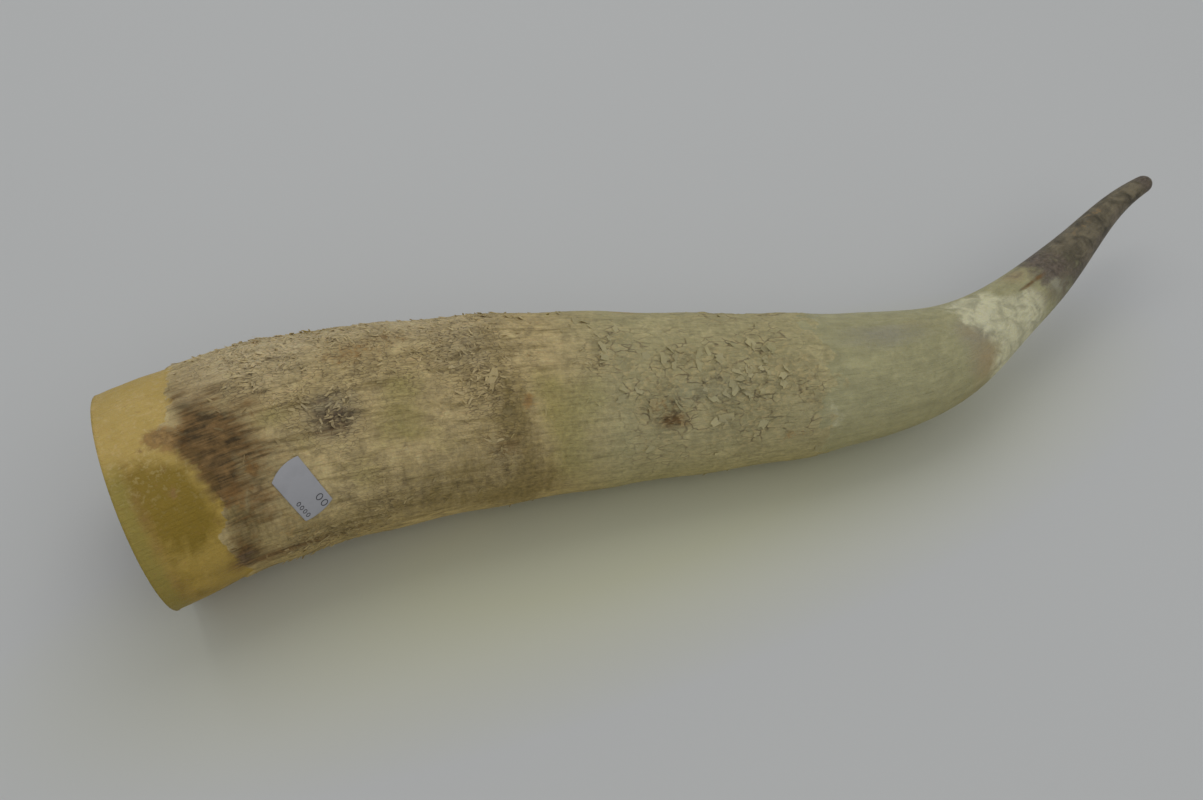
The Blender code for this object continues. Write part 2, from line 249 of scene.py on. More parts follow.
def colour_value(name, description, default):
    """Colour that a user can change."""
    return FloatVectorProperty(name=name, description=description, default=default, subtype="COLOR")


class HornShape(PropertyGroup):
    """Sizes of the sheath."""

    oval: FloatProperty(
        name="Oval", description="How much wider than high the section is, each way", default=0.06)
    tip_rounding: length_value("Tip rounding", "Length over which the tip closes", 5.0)
    rim_wall: length_value("Rim wall", "Wall thickness at the sawn rim", 4.5)
    hollow_depth: length_value("Hollow depth", "How far the hollow reaches up the horn", 326)
    ring_spacing: length_value("Ring spacing", "Distance between rings of the skin on the bark", 1.05)
    sides: IntProperty(name="Sides", description="Faces around the horn", default=200, min=24)
    crowding: FloatProperty(
        name="Crowding", description="How much closer the faces are on top than underneath",
        default=0.35, min=0.0, max=0.9)


class BarkFinish(PropertyGroup):
    """Sizes of the bark's relief, curls and scales."""

    rise: length_value("Bark rise", "Step from the smooth base up to the bark", 0.8)
    plate_lift: length_value("Plate lift", "How far broken plates of bark stand up", 1.2)
    crack_depth: length_value("Crack depth", "Depth of the cracks between plates", 0.3)
    line_depth: length_value("Line depth", "Depth of the dark lines around the near side", 0.22)
    line_spacing: length_value("Line spacing", "Distance between the dark lines", 7.5)
    swell_height: length_value("Swell height", "Height of the growth swells", 0.35)
    swell_spacing: length_value("Swell spacing", "Distance between growth swells", 47)
    wear: length_value("Wear", "How much of the bark is worn off where the horn lies", 1.2)
    curl_count: IntProperty(
        name="Curls per area", description="Curls of bark per square metre of flaky patch",
        default=120000)
    curl_size: length_value("Curl size", "Length of an ordinary curl", 6.4)
    curl_end: length_value("Curls until", "Distance from the base where the curls end", 200)
    scale_count: IntProperty(
        name="Scales per area", description="Flat scales per square metre of flaky patch",
        default=16000)
    scale_size: length_value("Scale size", "Length of an ordinary flat scale", 7.0)
    scale_start: length_value("Scales from", "Distance from the base where flat scales begin", 150)
    scale_end: length_value("Scales until", "Distance from the base where flat scales end", 310)
    seed: IntProperty(name="Seed", description="Seed of every random choice", default=7)


class HornColours(PropertyGroup):
    """Colours of the horn, from the base to the tip."""

    ochre: colour_value("Ochre", "Waxy base below the bark", (0.52, 0.36, 0.082))
    cream_base: colour_value("Pale ochre", "Paler top of the waxy base", (0.63, 0.455, 0.15))
    chalk: colour_value("Chalk", "Chalky specks on the waxy base", (0.78, 0.62, 0.30))
    amber: colour_value("Amber", "Clear dark part of the waxy base", (0.25, 0.165, 0.012))
    # Painted glow along the thin edge of the saw cut
    rim_glow: colour_value("Rim", "Thin pale edge of the saw cut", (0.34, 0.27, 0.06))
    tan: colour_value("Tan", "Dry bark", (0.575, 0.45, 0.222))
    pale_bark: colour_value("Pale bark", "Palest dry bark", (0.74, 0.61, 0.365))
    mauve: colour_value("Mauve", "Brownish pink parts", (0.435, 0.33, 0.175))
    window: colour_value("Clear horn", "Smooth greenish horn that shows between the flakes",
                         (0.375, 0.315, 0.114))
    olive: colour_value("Olive", "Brownish bands around the horn", (0.26, 0.195, 0.07))
    stain: colour_value("Stain", "Dark brown stain", (0.092, 0.05, 0.016))
    soot: colour_value("Soot brown", "Blackish brown parts", (0.118, 0.092, 0.072))
    rust: colour_value("Rust", "Warm brown spots", (0.34, 0.20, 0.07))
    # Painted shade in cracks and the hole, and also the dark lines and fine dark hairs
    dirt: colour_value("Dirt", "Dirt in cracks", (0.10, 0.07, 0.04))
    smooth: colour_value("Smooth horn", "Greenish horn beyond the bark", (0.43, 0.402, 0.22))
    grey: colour_value("Grey", "Greyish weathered horn", (0.32, 0.30, 0.225))
    cream: colour_value("Cream", "Pale mottled parts", (0.60, 0.575, 0.38))
    tip: colour_value("Tip", "Dark end of the horn", (0.13, 0.11, 0.07))


class LabelSize(PropertyGroup):
    """Price label on the side of the horn."""

    place: length_value("Distance", "Middle of the label from the base", 64)
    angle: angle_value("Angle", "Middle of the label around the horn", 148)
    slant: angle_value("Slant", "Turn of its long side against the length of the horn", 63)
    length: length_value("Length", "Long side", 26)
    width: length_value("Width", "Short side", 16)
    bulge: length_value("End bulge", "How far the short ends bow out", 1.5)
    paper: colour_value("Paper", "White label paper", (0.385, 0.385, 0.405))
    ink: colour_value("Ink", "Printed figures", (0.05, 0.05, 0.055))


class StudioSetting(PropertyGroup):
    """Floor, light and camera."""

    floor: colour_value("Floor", "Pale cloth", (0.62, 0.63, 0.63))
    sky: FloatProperty(name="Fill", description="Strength of the even light", default=0.46)
    key: FloatProperty(
        name="Key", description="Power of the soft light behind", default=3.2, unit="POWER")
    front: FloatProperty(
        name="Front", description="Power of the soft light on the viewer's side", default=2.0,
        unit="POWER")
    lens: FloatProperty(
        name="Lens", description="Focal length of the camera, in millimetres", default=37.4)
    heading: angle_value("Heading", "Turn of the view from +Y towards +X", 25.0)
    elevation: angle_value("Elevation", "How steeply the camera looks down", 52.85)
    bank: angle_value("Bank", "Turn of the camera about its view", 2.15)


# Horn shape

def natural_spline(knots, values, at):
    """Smooth curve through the values at the knots, with no bend at either end."""
    count = len(knots)
    gap = np.diff(knots)[:, None]
    matrix = np.eye(count)
    right = np.zeros_like(values)
    for row in range(1, count - 1):
        matrix[row, row - 1] = gap[row - 1, 0]
        matrix[row, row] = 2 * (gap[row - 1, 0] + gap[row, 0])
        matrix[row, row + 1] = gap[row, 0]
        after, before = values[row + 1] - values[row], values[row] - values[row - 1]
        right[row] = 6 * (after / gap[row] - before / gap[row - 1])
    bend = np.linalg.solve(matrix, right)
    cell = np.clip(np.searchsorted(knots, at) - 1, 0, count - 2)
    width = gap[cell]
    after = (knots[cell + 1] - at)[:, None]
    before = (at - knots[cell])[:, None]
    cubic = (bend[cell] * after**3 + bend[cell + 1] * before**3) / (6 * width)
    start = (values[cell] / width - bend[cell] * width / 6) * after
    end = (values[cell + 1] / width - bend[cell + 1] * width / 6) * before
    return cubic + start + end


def measured_course():
    """The horn's middle and half width at close steps, in metres, with the distance along it."""
    course = np.array(COURSE, dtype=float)
    course[:, :3] -= COURSE_ORIGIN
    course *= MM
    chords = np.linalg.norm(np.diff(course[:, :3], axis=0), axis=1)
    knots = np.concatenate(([0.0], np.cumsum(chords)))
    points = natural_spline(knots, course, np.linspace(0.0, knots[-1], 1500))
    steps = np.linalg.norm(np.diff(points[:, :3], axis=0), axis=1)
    return np.concatenate(([0.0], np.cumsum(steps))), points


DISTANCE, MIDDLE = measured_course()
LENGTH = DISTANCE[-1]


def half_width(s):
    """Half width of the smooth horn, closing in a round tip; distances and widths in metres."""
    rounding = bpy.context.scene.horn_shape.tip_rounding
    width = np.interp(np.clip(s, 0.0, LENGTH), DISTANCE, MIDDLE[:, 3])
    into_tip = np.clip((s - (LENGTH - rounding)) / rounding, 0.0, 1.0)
    return width * np.sqrt(1.0 - into_tip**2)


def saw_shift(angle, radius):
    """How far along the horn the saw plane lies at each angle."""
    shape = bpy.context.scene.horn_shape
    along = MIDDLE[1, :3] - MIDDLE[0, :3]
    along /= np.linalg.norm(along)
    side = np.cross((0.0, 0.0, 1.0), along)
    side /= np.linalg.norm(side)
    up = np.cross(along, side)
    across = (radius * (1 + shape.oval) * np.cos(angle))[..., None] * side
    above = (radius * (1 - shape.oval) * np.sin(angle))[..., None] * up
    points = MIDDLE[0, :3] + across + above
    face = np.array(SAW_FACE)
    plane = (np.array(SAW_POINT) - COURSE_ORIGIN) * MM
    return (plane - points) @ face / (along @ face)


def around(points, angle):
    """Value at an angle, from a closed list of (degrees, value)."""
    degrees = np.array([point[0] for point in points], dtype=float)
    values = np.array([point[1] for point in points], dtype=float)
    return np.interp(np.degrees(angle) % 360, np.append(degrees, 360.0), np.append(values, values[0]))


def straightened(s, angle):
    """Places on the horn as if it were straight: along it, and across its section, in metres."""
    radius = np.interp(np.clip(s, 0.0, LENGTH), DISTANCE, MIDDLE[:, 3])
    return np.stack([s, radius * np.cos(angle), radius * np.sin(angle)], axis=-1)


# Noise for shapes

def smooth_step(value):
    """Soft rise from 0 to 1."""
    value = np.clip(value, 0.0, 1.0)
    return value * value * (3 - 2 * value)


def noise_table(seed):
    """Shuffled order and random values behind the noises of one seed."""
    rng = np.random.default_rng(seed)
    return rng.permutation(256), rng.uniform(-1.0, 1.0, 256)


def lattice(places, seed):
    """Smooth noise from -1 to 1 with a grain of 1."""
    order, value = noise_table(seed)
    cell = np.floor(places).astype(int)
    blend = smooth_step(places - cell)
    total = 0.0
    for corner in np.ndindex(2, 2, 2):
        x, y, z = (cell[..., axis] + corner[axis] for axis in range(3))
        mixed = value[order[(order[(order[x & 255] + y) & 255] + z) & 255]]
        for axis in range(3):
            mixed = mixed * (blend[..., axis] if corner[axis] else 1 - blend[..., axis])
        total = total + mixed
    return total


def rough(places, seed, octaves=3):
    """Noise summed over ever finer grains."""
    total, strength = 0.0, 1.0
    for octave in range(octaves):
        total = total + strength * lattice(places * 2**octave, seed + octave)
        strength *= 0.5
    return total


def plates(places, seed):
    """Broken cells: for each place its cell's three random values, offset from its middle and crack."""
    order, value = noise_table(seed)
    cell = np.floor(places).astype(int)
    nearest = np.full(places.shape[:-1], 9.0)
    second = nearest.copy()
    chosen = np.zeros(places.shape[:-1], dtype=int)
    offset = np.zeros_like(places)
    for step in np.ndindex(3, 3, 3):
        x, y, z = (cell[..., axis] + step[axis] - 1 for axis in range(3))
        key = order[(order[(order[x & 255] + y) & 255] + z) & 255]
        spots = np.stack([value[(key * 3 + axis * 37 + 11) & 255] for axis in range(3)], axis=-1)
        middle = np.stack([x, y, z], axis=-1) + 0.5 + 0.42 * spots
        away = places - middle
        length = np.linalg.norm(away, axis=-1)
        closer = length < nearest
        second = np.where(closer, nearest, np.minimum(second, length))
        nearest = np.where(closer, length, nearest)
        chosen = np.where(closer, key, chosen)
        offset = np.where(closer[..., None], away, offset)
    picks = [value[(chosen * 5 + 61 * number) & 255] for number in range(3)]
    return picks, offset, second - nearest


# Surface of the horn

def patch_strength(patches, s, angle):
    """Sum of soft patches at places on the horn, each strongest in its middle."""
    total = np.zeros_like(s)
    for place, degrees, reach, spread, strength in patches:
        apart = (np.degrees(angle) - degrees + 180.0) % 360.0 - 180.0
        total += strength * np.exp(-((s / MM - place) / reach) ** 2 - (apart / spread) ** 2)
    return total


def bark_cover(s, angle):
    """1 on the bark, 0 on the smooth base and beyond the crust, with ragged borders."""
    at = straightened(s, angle) / MM
    ragged = 2.6 * rough(at / 6.0, 11) + 1.3 * lattice(at / 1.9, 14)
    start = smooth_step((s / MM - around(BARK_EDGE, angle) - ragged) / 1.6 + 0.5)
    end = smooth_step((s / MM - CRUST_END - 3.0 * ragged) / 14.0 + 0.5)
    return start * (1 - end)


def label_distance(s, angle):
    """Distance over the surface from the middle of the label, in metres."""
    label = bpy.context.scene.horn_label
    arc = (np.asarray(angle) - label.angle) * half_width(np.array([label.place]))
    return np.hypot(s - label.place, arc)


def unworn(angle):
    """0 on the worn side that the horn lies on, 1 elsewhere."""
    apart = np.abs((np.degrees(angle) - 270.0 + 180.0) % 360.0 - 180.0)
    return smooth_step((apart - 20.0) / 18.0)


def beyond_label(s, angle):
    """0 on and around the label, 1 away from it."""
    return smooth_step((label_distance(s, angle) / MM - 14.0) / 4.0)


def flakiness(s, angle):
    """How loose the bark is, from 0 where it is smooth to about 1."""
    at = straightened(s, angle) / MM
    patchy = patch_strength(FLAKY_PATCHES, s, angle) + 0.06
    ragged = patchy * (1.0 + 0.7 * rough(at / 9.0, 31))
    whole = bark_cover(s, angle) * beyond_label(s, angle) * unworn(angle)
    return np.clip(ragged, 0.0, 1.1) * whole


def plate_relief(at, flaky, beyond):
    """How far broken plates stand up, and how deep the cracks between them are, from 0 to 1."""
    stray = np.stack([rough(at / 6.0, seed, 2) for seed in (41, 47, 53)], axis=-1)
    warped = at + 1.8 * stray
    fine_picks, fine_offset, fine_crack = plates(warped / (4.6, 2.7, 2.7), 61)
    wide_picks, wide_offset, wide_crack = plates(warped / (9.0, 5.6, 5.6), 67)
    fine = 0.5 + 0.5 * fine_picks[0] - fine_offset[..., 0] * (0.5 + 0.5 * fine_picks[1])
    wide = 0.5 + 0.5 * wide_picks[0] - wide_offset[..., 0] * (0.7 + 0.5 * wide_picks[1])
    lift = (1 - beyond) * (0.75 * fine + 0.25 * wide) + beyond * (0.8 * wide + 0.2 * fine)
    crack = smooth_step(1 - fine_crack / 0.15) * (1 - 0.6 * beyond)
    crack = np.maximum(crack, smooth_step(1 - wide_crack / 0.10) * beyond)
    some = 1 - beyond * (1 - smooth_step(0.45 + 0.9 * rough(at / (9.0, 6.0, 6.0), 73, 2)))
    return flaky * some * (lift - 0.35), crack * (1 - 0.4 * beyond) * some


def grained_relief(s, at, cover, flaky, quiet, lying):
    """Small heights of the bark's grain, the fibres and the waxy base, in metres."""
    bumps = 0.14 * rough(at / (5.0, 2.8, 2.8), 71) * cover * (0.3 + flaky) * quiet
    fibres = 0.05 * rough(at / (14.0, 1.1, 1.1), 79, 2) * (0.4 + cover) * quiet
    base = 1 - smooth_step((s / MM - 20) / 12)
    waves = 0.12 * rough(at / (7.0, 9.0, 9.0), 89) * base * lying
    return (bumps + fibres + waves) * MM


def surface_relief(s, angle):
    """Height over the plain oval, in metres, the painted shade of cracks and the hole with the dark
    lines, and how flaky and barky each place is.
    """
    bark = bpy.context.scene.horn_bark
    at = straightened(s, angle) / MM
    cover = bark_cover(s, angle)
    flaky = flakiness(s, angle)
    clear = beyond_label(s, angle)
    lying = unworn(angle)
    beyond = smooth_step((s / MM - 175.0) / 30.0)
    plate, crack = plate_relief(at, flaky, beyond)
    dashes = dark_lines(s, angle)
    growth = np.sin(2 * math.pi * s / bark.swell_spacing)
    growth *= (1 - smooth_step((s / MM - 300) / 40)) * clear
    hole = patch_strength(HOLE, s, angle)
    height = bark.rise * (cover - 0.5) + bark.plate_lift * plate + bark.swell_height * growth
    height += grained_relief(s, at, cover, flaky, clear * lying, lying)
    height -= bark.crack_depth * crack * np.clip(flaky * 1.3, 0, 1)
    height -= bark.line_depth * dashes * cover * clear
    height -= (patch_strength(PIT, s, angle) + hole) * MM
    height -= bark.wear * (1 - lying) * cover
    fade = np.clip((LENGTH - s) / (60.0 * MM), 0.0, 1.0)
    height *= (0.12 + 0.88 * fade) * np.clip((LENGTH - s) / (4.0 * MM), 0.0, 1.0)
    # Painted shade in the cracks and the hole, with the dark lines
    dirt = np.clip(0.8 * crack * flaky + 0.8 * dashes * cover + hole, 0, 1)
    return height, dirt, flaky, cover


def dark_lines(s, angle):
    """Broken dark lines around the horn on its near side."""
    spacing = bpy.context.scene.horn_bark.line_spacing
    at = straightened(s, angle) / MM
    near = np.exp(-((np.degrees(angle) - 162) / 17) ** 2)
    along = smooth_step((s / MM - 86) / 10) * (1 - smooth_step((s / MM - 150) / 20))
    stray = 1.5 * rough(at / 9.0, 83, 2) + 0.8 * lattice(at / 2.2, 85)
    wave = np.sin(2 * math.pi * (s + (stray - 0.9) * MM) / spacing)
    broken = smooth_step(1.2 * rough(at / (3.0, 5.0, 5.0), 87, 2) + 0.25)
    return np.clip(wave - 0.55, 0, 1) / 0.45 * near * along * broken


# Geometry nodes

class NodeTree:
    """Short way of writing a node tree: each call adds a node and returns its output."""

    def __init__(self, tree):
        self.tree = tree

    def add(self, kind, inputs=None, settings=None, output=0):
        """New node of a kind, with values or links for its inputs."""
        node = self.tree.nodes.new(kind)
        for name, value in (settings or {}).items():
            setattr(node, name, value)
        for name, value in (inputs or {}).items():
            self.feed(node.inputs[name], value)
        return node.outputs[output]

    def feed(self, socket, value):
        if isinstance(value, bpy.types.NodeSocket):
            self.tree.links.new(value, socket)
        else:
            socket.default_value = value

    def number(self, operation, *values, clamp=False):
        return self.add("ShaderNodeMath", dict(enumerate(values)),
                        {"operation": operation, "use_clamp": clamp})

    def plus(self, first, second):
        return self.number("ADD", first, second)

    def times(self, first, second):
        return self.number("MULTIPLY", first, second)

    def vector(self, operation, *values, output=0):
        return self.add("ShaderNodeVectorMath", dict(enumerate(values)), {"operation": operation},
                        output)

    def scaled(self, vector, factor):
        return self.add("ShaderNodeVectorMath", {0: vector, "Scale": factor}, {"operation": "SCALE"})

    def attribute(self, name, kind="FLOAT"):
        return self.add("GeometryNodeInputNamedAttribute", {"Name": name}, {"data_type": kind})


def new_geometry_tree(name, numbers):
    """Geometry node tree with a geometry in and out and the named inputs."""
    tree = bpy.data.node_groups.new(name, "GeometryNodeTree")
    tree.interface.new_socket("Geometry", in_out="INPUT", socket_type="NodeSocketGeometry")
    for label, kind, value in numbers:
        socket = tree.interface.new_socket(label, in_out="INPUT", socket_type="NodeSocket" + kind)
        if value is not None:
            socket.default_value = value
    tree.interface.new_socket("Geometry", in_out="OUTPUT", socket_type="NodeSocketGeometry")
    entry = tree.nodes.new("NodeGroupInput")
    return NodeTree(tree), entry


def end_tree(nodes, entry, geometry):
    """Real mesh with its material at the end of a tree."""
    real = nodes.add("GeometryNodeRealizeInstances", {"Geometry": geometry})
    painted = nodes.add("GeometryNodeSetMaterial",
                        {"Geometry": real, "Material": entry.outputs["Material"]})
    leave = nodes.tree.nodes.new("NodeGroupOutput")
    nodes.tree.links.new(painted, leave.inputs["Geometry"])


def lay_on_horn_tree():
    """Moves points that hold a distance, an angle, a radius and a height onto the horn's surface."""
    nodes, entry = new_geometry_tree("Lay on horn", (
        ("Course", "Object", None), ("Oval", "Float", 0.06), ("Material", "Material", None)))
    course = nodes.add("GeometryNodeObjectInfo", {"Object": entry.outputs["Course"]}, output="Geometry")
    distance = nodes.attribute("distance")
    inside = nodes.number("MAXIMUM", distance, 0.0)
    sample = nodes.add("GeometryNodeSampleCurve", {"Curves": course, "Length": inside},
                       {"mode": "LENGTH", "use_all_curves": True}).node
    along = sample.outputs["Tangent"]
    before_base = nodes.number("MINIMUM", distance, 0.0)
    middle = nodes.vector("ADD", sample.outputs["Position"], nodes.scaled(along, before_base))
    flat = nodes.vector("CROSS_PRODUCT", (0.0, 0.0, 1.0), along)
    side = nodes.vector("NORMALIZE", flat)
    up = nodes.vector("CROSS_PRODUCT", along, side)
    angle, radius, height = (nodes.attribute(name) for name in ("angle", "radius", "height"))
    wide = nodes.plus(1.0, entry.outputs["Oval"])
    low = nodes.number("SUBTRACT", 1.0, entry.outputs["Oval"])
    reach = nodes.plus(nodes.times(radius, wide), height)
    rise = nodes.plus(nodes.times(radius, low), height)
    across = nodes.scaled(side, nodes.times(reach, nodes.number("COSINE", angle)))
    above = nodes.scaled(up, nodes.times(rise, nodes.number("SINE", angle)))
    place = nodes.vector("ADD", middle, nodes.vector("ADD", across, above))
    moved = nodes.add("GeometryNodeSetPosition",
                      {"Geometry": entry.outputs["Geometry"], "Position": place})
    kept = nodes.add("GeometryNodeStoreNamedAttribute",
                     {"Geometry": moved, "Name": "along", "Value": along},
                     {"data_type": "FLOAT_VECTOR", "domain": "POINT"})
    end_tree(nodes, entry, kept)
    return nodes.tree


def flake_tree():
    """Scatters flakes over a surface where its attribute flaky is strong, edges towards the base."""
    nodes, entry = new_geometry_tree("Scatter flakes", (
        ("Flakes", "Collection", None), ("Per area", "Float", 1000.0), ("Size", "Float", 0.003),
        ("Turn", "Float", 0.5), ("From", "Float", 0.0), ("Until", "Float", 1.0), ("Seed", "Int", 0),
        ("Material", "Material", None)))
    skin = entry.outputs["Geometry"]
    distance = nodes.attribute("distance")
    here = nodes.times(nodes.number("GREATER_THAN", distance, entry.outputs["From"]),
                       nodes.number("LESS_THAN", distance, entry.outputs["Until"]))
    flaky = nodes.number("POWER", nodes.number("MAXIMUM", nodes.attribute("flaky"), 0.0), 1.6)
    density = nodes.times(entry.outputs["Per area"], nodes.times(flaky, here))
    points = nodes.add("GeometryNodeDistributePointsOnFaces",
                       {"Mesh": skin, "Density": density, "Seed": entry.outputs["Seed"]},
                       {"distribute_method": "RANDOM"}).node
    upright = nodes.add("FunctionNodeAxesToRotation",
                        {"Primary Axis": points.outputs["Normal"],
                         "Secondary Axis": nodes.attribute("along", "FLOAT_VECTOR")},
                        {"primary_axis": "Z", "secondary_axis": "X"})
    spread = nodes.times(entry.outputs["Turn"], -1.0)
    wander = nodes.add("FunctionNodeRandomValue",
                       {2: spread, 3: entry.outputs["Turn"], "Seed": entry.outputs["Seed"]},
                       {"data_type": "FLOAT"}, output=1)
    swirl = nodes.add("ShaderNodeTexNoise", {"Scale": 1 / (16.0 * MM), "Detail": 1.0})
    turn = nodes.plus(nodes.times(nodes.number("SUBTRACT", swirl, 0.5), 7.0), nodes.times(wander, 0.45))
    twist = nodes.add("FunctionNodeAxisAngleToRotation", {"Axis": (0.0, 0.0, 1.0), "Angle": turn})
    facing = nodes.add("FunctionNodeRotateRotation", {"Rotation": upright, "Rotate By": twist},
                       {"rotation_space": "LOCAL"})
    stretch = nodes.add("FunctionNodeRandomValue",
                        {0: (0.45, 0.45, 0.5), 1: (1.5, 1.25, 1.4), "Seed": entry.outputs["Seed"]},
                        {"data_type": "FLOAT_VECTOR"}, output=0)
    size = nodes.scaled(stretch, entry.outputs["Size"])
    kinds = nodes.add("GeometryNodeCollectionInfo",
                      {"Collection": entry.outputs["Flakes"], "Separate Children": True,
                       "Reset Children": True})
    flakes = nodes.add("GeometryNodeInstanceOnPoints",
                       {"Points": points.outputs["Points"], "Instance": kinds, "Pick Instance": True,
                        "Rotation": facing, "Scale": size})
    tone = nodes.add("FunctionNodeRandomValue", {2: 0.0, 3: 1.0, "Seed": 91},
                     {"data_type": "FLOAT"}, output=1)
    marked = nodes.add("GeometryNodeStoreNamedAttribute",
                       {"Geometry": flakes, "Name": "tone", "Value": tone},
                       {"data_type": "FLOAT", "domain": "INSTANCE"})
    end_tree(nodes, entry, marked)
    return nodes.tree


def run_tree(item, tree, values):
    """Puts a tree on an object, sets its inputs and turns the result into a plain mesh."""
    modifier = item.modifiers.new("Shape", "NODES")
    modifier.node_group = tree
    for socket in tree.interface.items_tree:
        if socket.item_type == "SOCKET" and socket.in_out == "INPUT" and socket.name in values:
            modifier[socket.identifier] = values[socket.name]
    bpy.context.view_layer.update()
    graph = bpy.context.evaluated_depsgraph_get()
    graph.update()
    made = bpy.data.meshes.new_from_object(item.evaluated_get(graph), depsgraph=graph)
    item.modifiers.remove(modifier)
    old = item.data
    item.data = made
    made.name = item.name
    bpy.data.meshes.remove(old)
    return item


def course_object():
    """Middle line of the horn as a curve for the node trees."""
    curve = bpy.data.curves.new("course", "CURVE")
    curve.dimensions = "3D"
    line = curve.splines.new("POLY")
    line.points.add(len(MIDDLE) - 1)
    line.points.foreach_set("co", np.hstack([MIDDLE[:, :3], np.ones((len(MIDDLE), 1))]).ravel())
    item = bpy.data.objects.new("course", curve)
    bpy.context.scene.collection.objects.link(item)
    return item


def mesh_on_horn(name, faces, s, angle, radius, height, material, extra=None):
    """Mesh whose points are given by their places on the horn, laid there by the node tree."""
    shape = bpy.context.scene.horn_shape
    data = bpy.data.meshes.new(name)
    data.from_pydata(np.zeros((s.size, 3)), [], faces)
    values = {"distance": s, "angle": angle, "radius": radius, "height": height, **(extra or {})}
    for label, numbers in values.items():
        flat = np.ascontiguousarray(np.broadcast_to(numbers, s.shape), dtype=np.float32).ravel()
        data.attributes.new(label, "FLOAT", "POINT").data.foreach_set("value", flat)
    places = data.attributes.new("straight", "FLOAT_VECTOR", "POINT")
    straight = straightened(s, angle).reshape(-1, 3).astype(np.float32)
    places.data.foreach_set("vector", straight.ravel())
    item = bpy.data.objects.new(name, data)
    bpy.context.scene.collection.objects.link(item)
    course = course_object()
    tree = bpy.data.node_groups.get("Lay on horn") or lay_on_horn_tree()
    run_tree(item, tree, {"Course": course, "Oval": shape.oval, "Material": material})
    bpy.data.objects.remove(course)
    item.data.shade_smooth()
    return item


def grid_faces(rings, sides, start=0, flip=False):
    """Quads of a tube of rings."""
    ring, side = np.meshgrid(np.arange(rings - 1), np.arange(sides), indexing="ij")
    after = (side + 1) % sides
    corners = [ring * sides + side, ring * sides + after, (ring + 1) * sides + after,
               (ring + 1) * sides + side]
    faces = np.stack(corners, axis=-1).reshape(-1, 4) + start
    return faces[:, ::-1] if flip else faces


# Materials

def new_material(name):
    """Material with its node tree and its shader."""
    material = bpy.data.materials.new(name)
    material.use_nodes = True
    nodes = NodeTree(material.node_tree)
    return material, nodes, material.node_tree.nodes["Principled BSDF"]


def mix(nodes, factor, first, second, blend="MIX"):
    """Colour mix; a plain colour is given as three numbers."""
    full = [value if isinstance(value, bpy.types.NodeSocket) else (*value, 1.0)
            for value in (first, second)]
    node = nodes.tree.nodes.new("ShaderNodeMix")
    node.data_type = "RGBA"
    node.blend_type = blend
    nodes.feed(node.inputs[0], factor)
    nodes.feed(node.inputs[6], full[0])
    nodes.feed(node.inputs[7], full[1])
    return node.outputs[2]


def shader_attribute(nodes, name, output="Fac"):
    """Value that the mesh holds under a name."""
    return nodes.add("ShaderNodeAttribute", settings={"attribute_name": name}, output=output)


def grain(nodes, place, scale, detail=3.0, stretch=(1.0, 1.0, 1.0), distortion=0.0):
    """Noise around 0.5 with a grain given in millimetres."""
    moved = nodes.add("ShaderNodeMapping", {"Vector": place, "Scale": stretch})
    return nodes.add("ShaderNodeTexNoise",
                     {"Vector": moved, "Scale": 1 / (scale * MM), "Detail": detail,
                      "Roughness": 0.6, "Distortion": distortion})


def ramp(nodes, value, low, high):
    """0 below low, 1 above high."""
    return nodes.add("ShaderNodeMapRange",
                     {"Value": value, "From Min": low, "From Max": high}, {"clamp": True})


def worn_mask(nodes, name, noise, spread, low=0.35, high=0.65, strength=1.0):
    """Patch from an attribute, broken up by noise where the patch lies."""
    patch = shader_attribute(nodes, name)
    inside = nodes.number("MULTIPLY", patch, 2.5, clamp=True)
    shaken = nodes.times(nodes.number("SUBTRACT", noise, 0.5), spread)
    mask = ramp(nodes, nodes.plus(patch, nodes.times(shaken, inside)), low, high)
    return nodes.times(mask, strength)


def patched(nodes, colour, layers):
    """Colour with patches over it: name, noise, spread, low, high, strength and colour of each."""
    for name, noise, spread, low, high, strength, paint in layers:
        colour = mix(nodes, worn_mask(nodes, name, noise, spread, low, high, strength), colour, paint)
    return colour


def mix_number(nodes, factor, first, second):
    """Number between two others."""
    return nodes.add("ShaderNodeMix", {0: factor, 2: first, 3: second}, {"data_type": "FLOAT"})


def add_bump(nodes, shader, height, strength, distance):
    """Bump on a shader from a height in units of the distance."""
    bump = nodes.add("ShaderNodeBump", {"Height": height, "Strength": strength, "Distance": distance},
                     output="Normal")
    nodes.feed(shader.inputs["Normal"], bump)


def tinted(colour, factor):
    """A lighter or darker shade of a colour."""
    return tuple(factor * part for part in colour)


def streaked(nodes, colour, noise):
    """A colour with faint darker and lighter streaks."""
    shade = mix(nodes, ramp(nodes, noise, 0.38, 0.64), (0.9, 0.9, 0.9), (1.06, 1.06, 1.06))
    return mix(nodes, 1.0, colour, shade, "MULTIPLY")


def shades(nodes, colour, noise, low, high, dark=0.8, light=1.15):
    """A colour that varies between a darker and a lighter shade of itself."""
    return mix(nodes, ramp(nodes, noise, low, high), tinted(colour, dark), tinted(colour, light))


def flaked(nodes, place, stray, sizes):
    """Thin overlapping flakes: their height, which falls off sharply on one side, and the cracks."""
    stretched = nodes.add("ShaderNodeMapping",
                          {"Vector": place, "Scale": tuple(1 / (size * MM) for size in sizes)})
    moved = nodes.vector("ADD", stretched, stray)
    cell = nodes.add("ShaderNodeTexVoronoi", {"Vector": moved, "Scale": 1.0}, output="Position")
    tone = nodes.add("ShaderNodeTexVoronoi", {"Vector": moved, "Scale": 1.0}, output="Color")
    offset = nodes.add("ShaderNodeSeparateXYZ", {"Vector": nodes.vector("SUBTRACT", moved, cell)},
                       output="X")
    picked = nodes.add("ShaderNodeSeparateXYZ", {"Vector": tone}, output="X")
    height = nodes.number("SUBTRACT", nodes.times(picked, 0.7), offset)
    edge = nodes.add("ShaderNodeTexVoronoi", {"Vector": moved, "Scale": 1.0},
                     {"feature": "DISTANCE_TO_EDGE"})
    return height, ramp(nodes, edge, 0.09, 0.0)


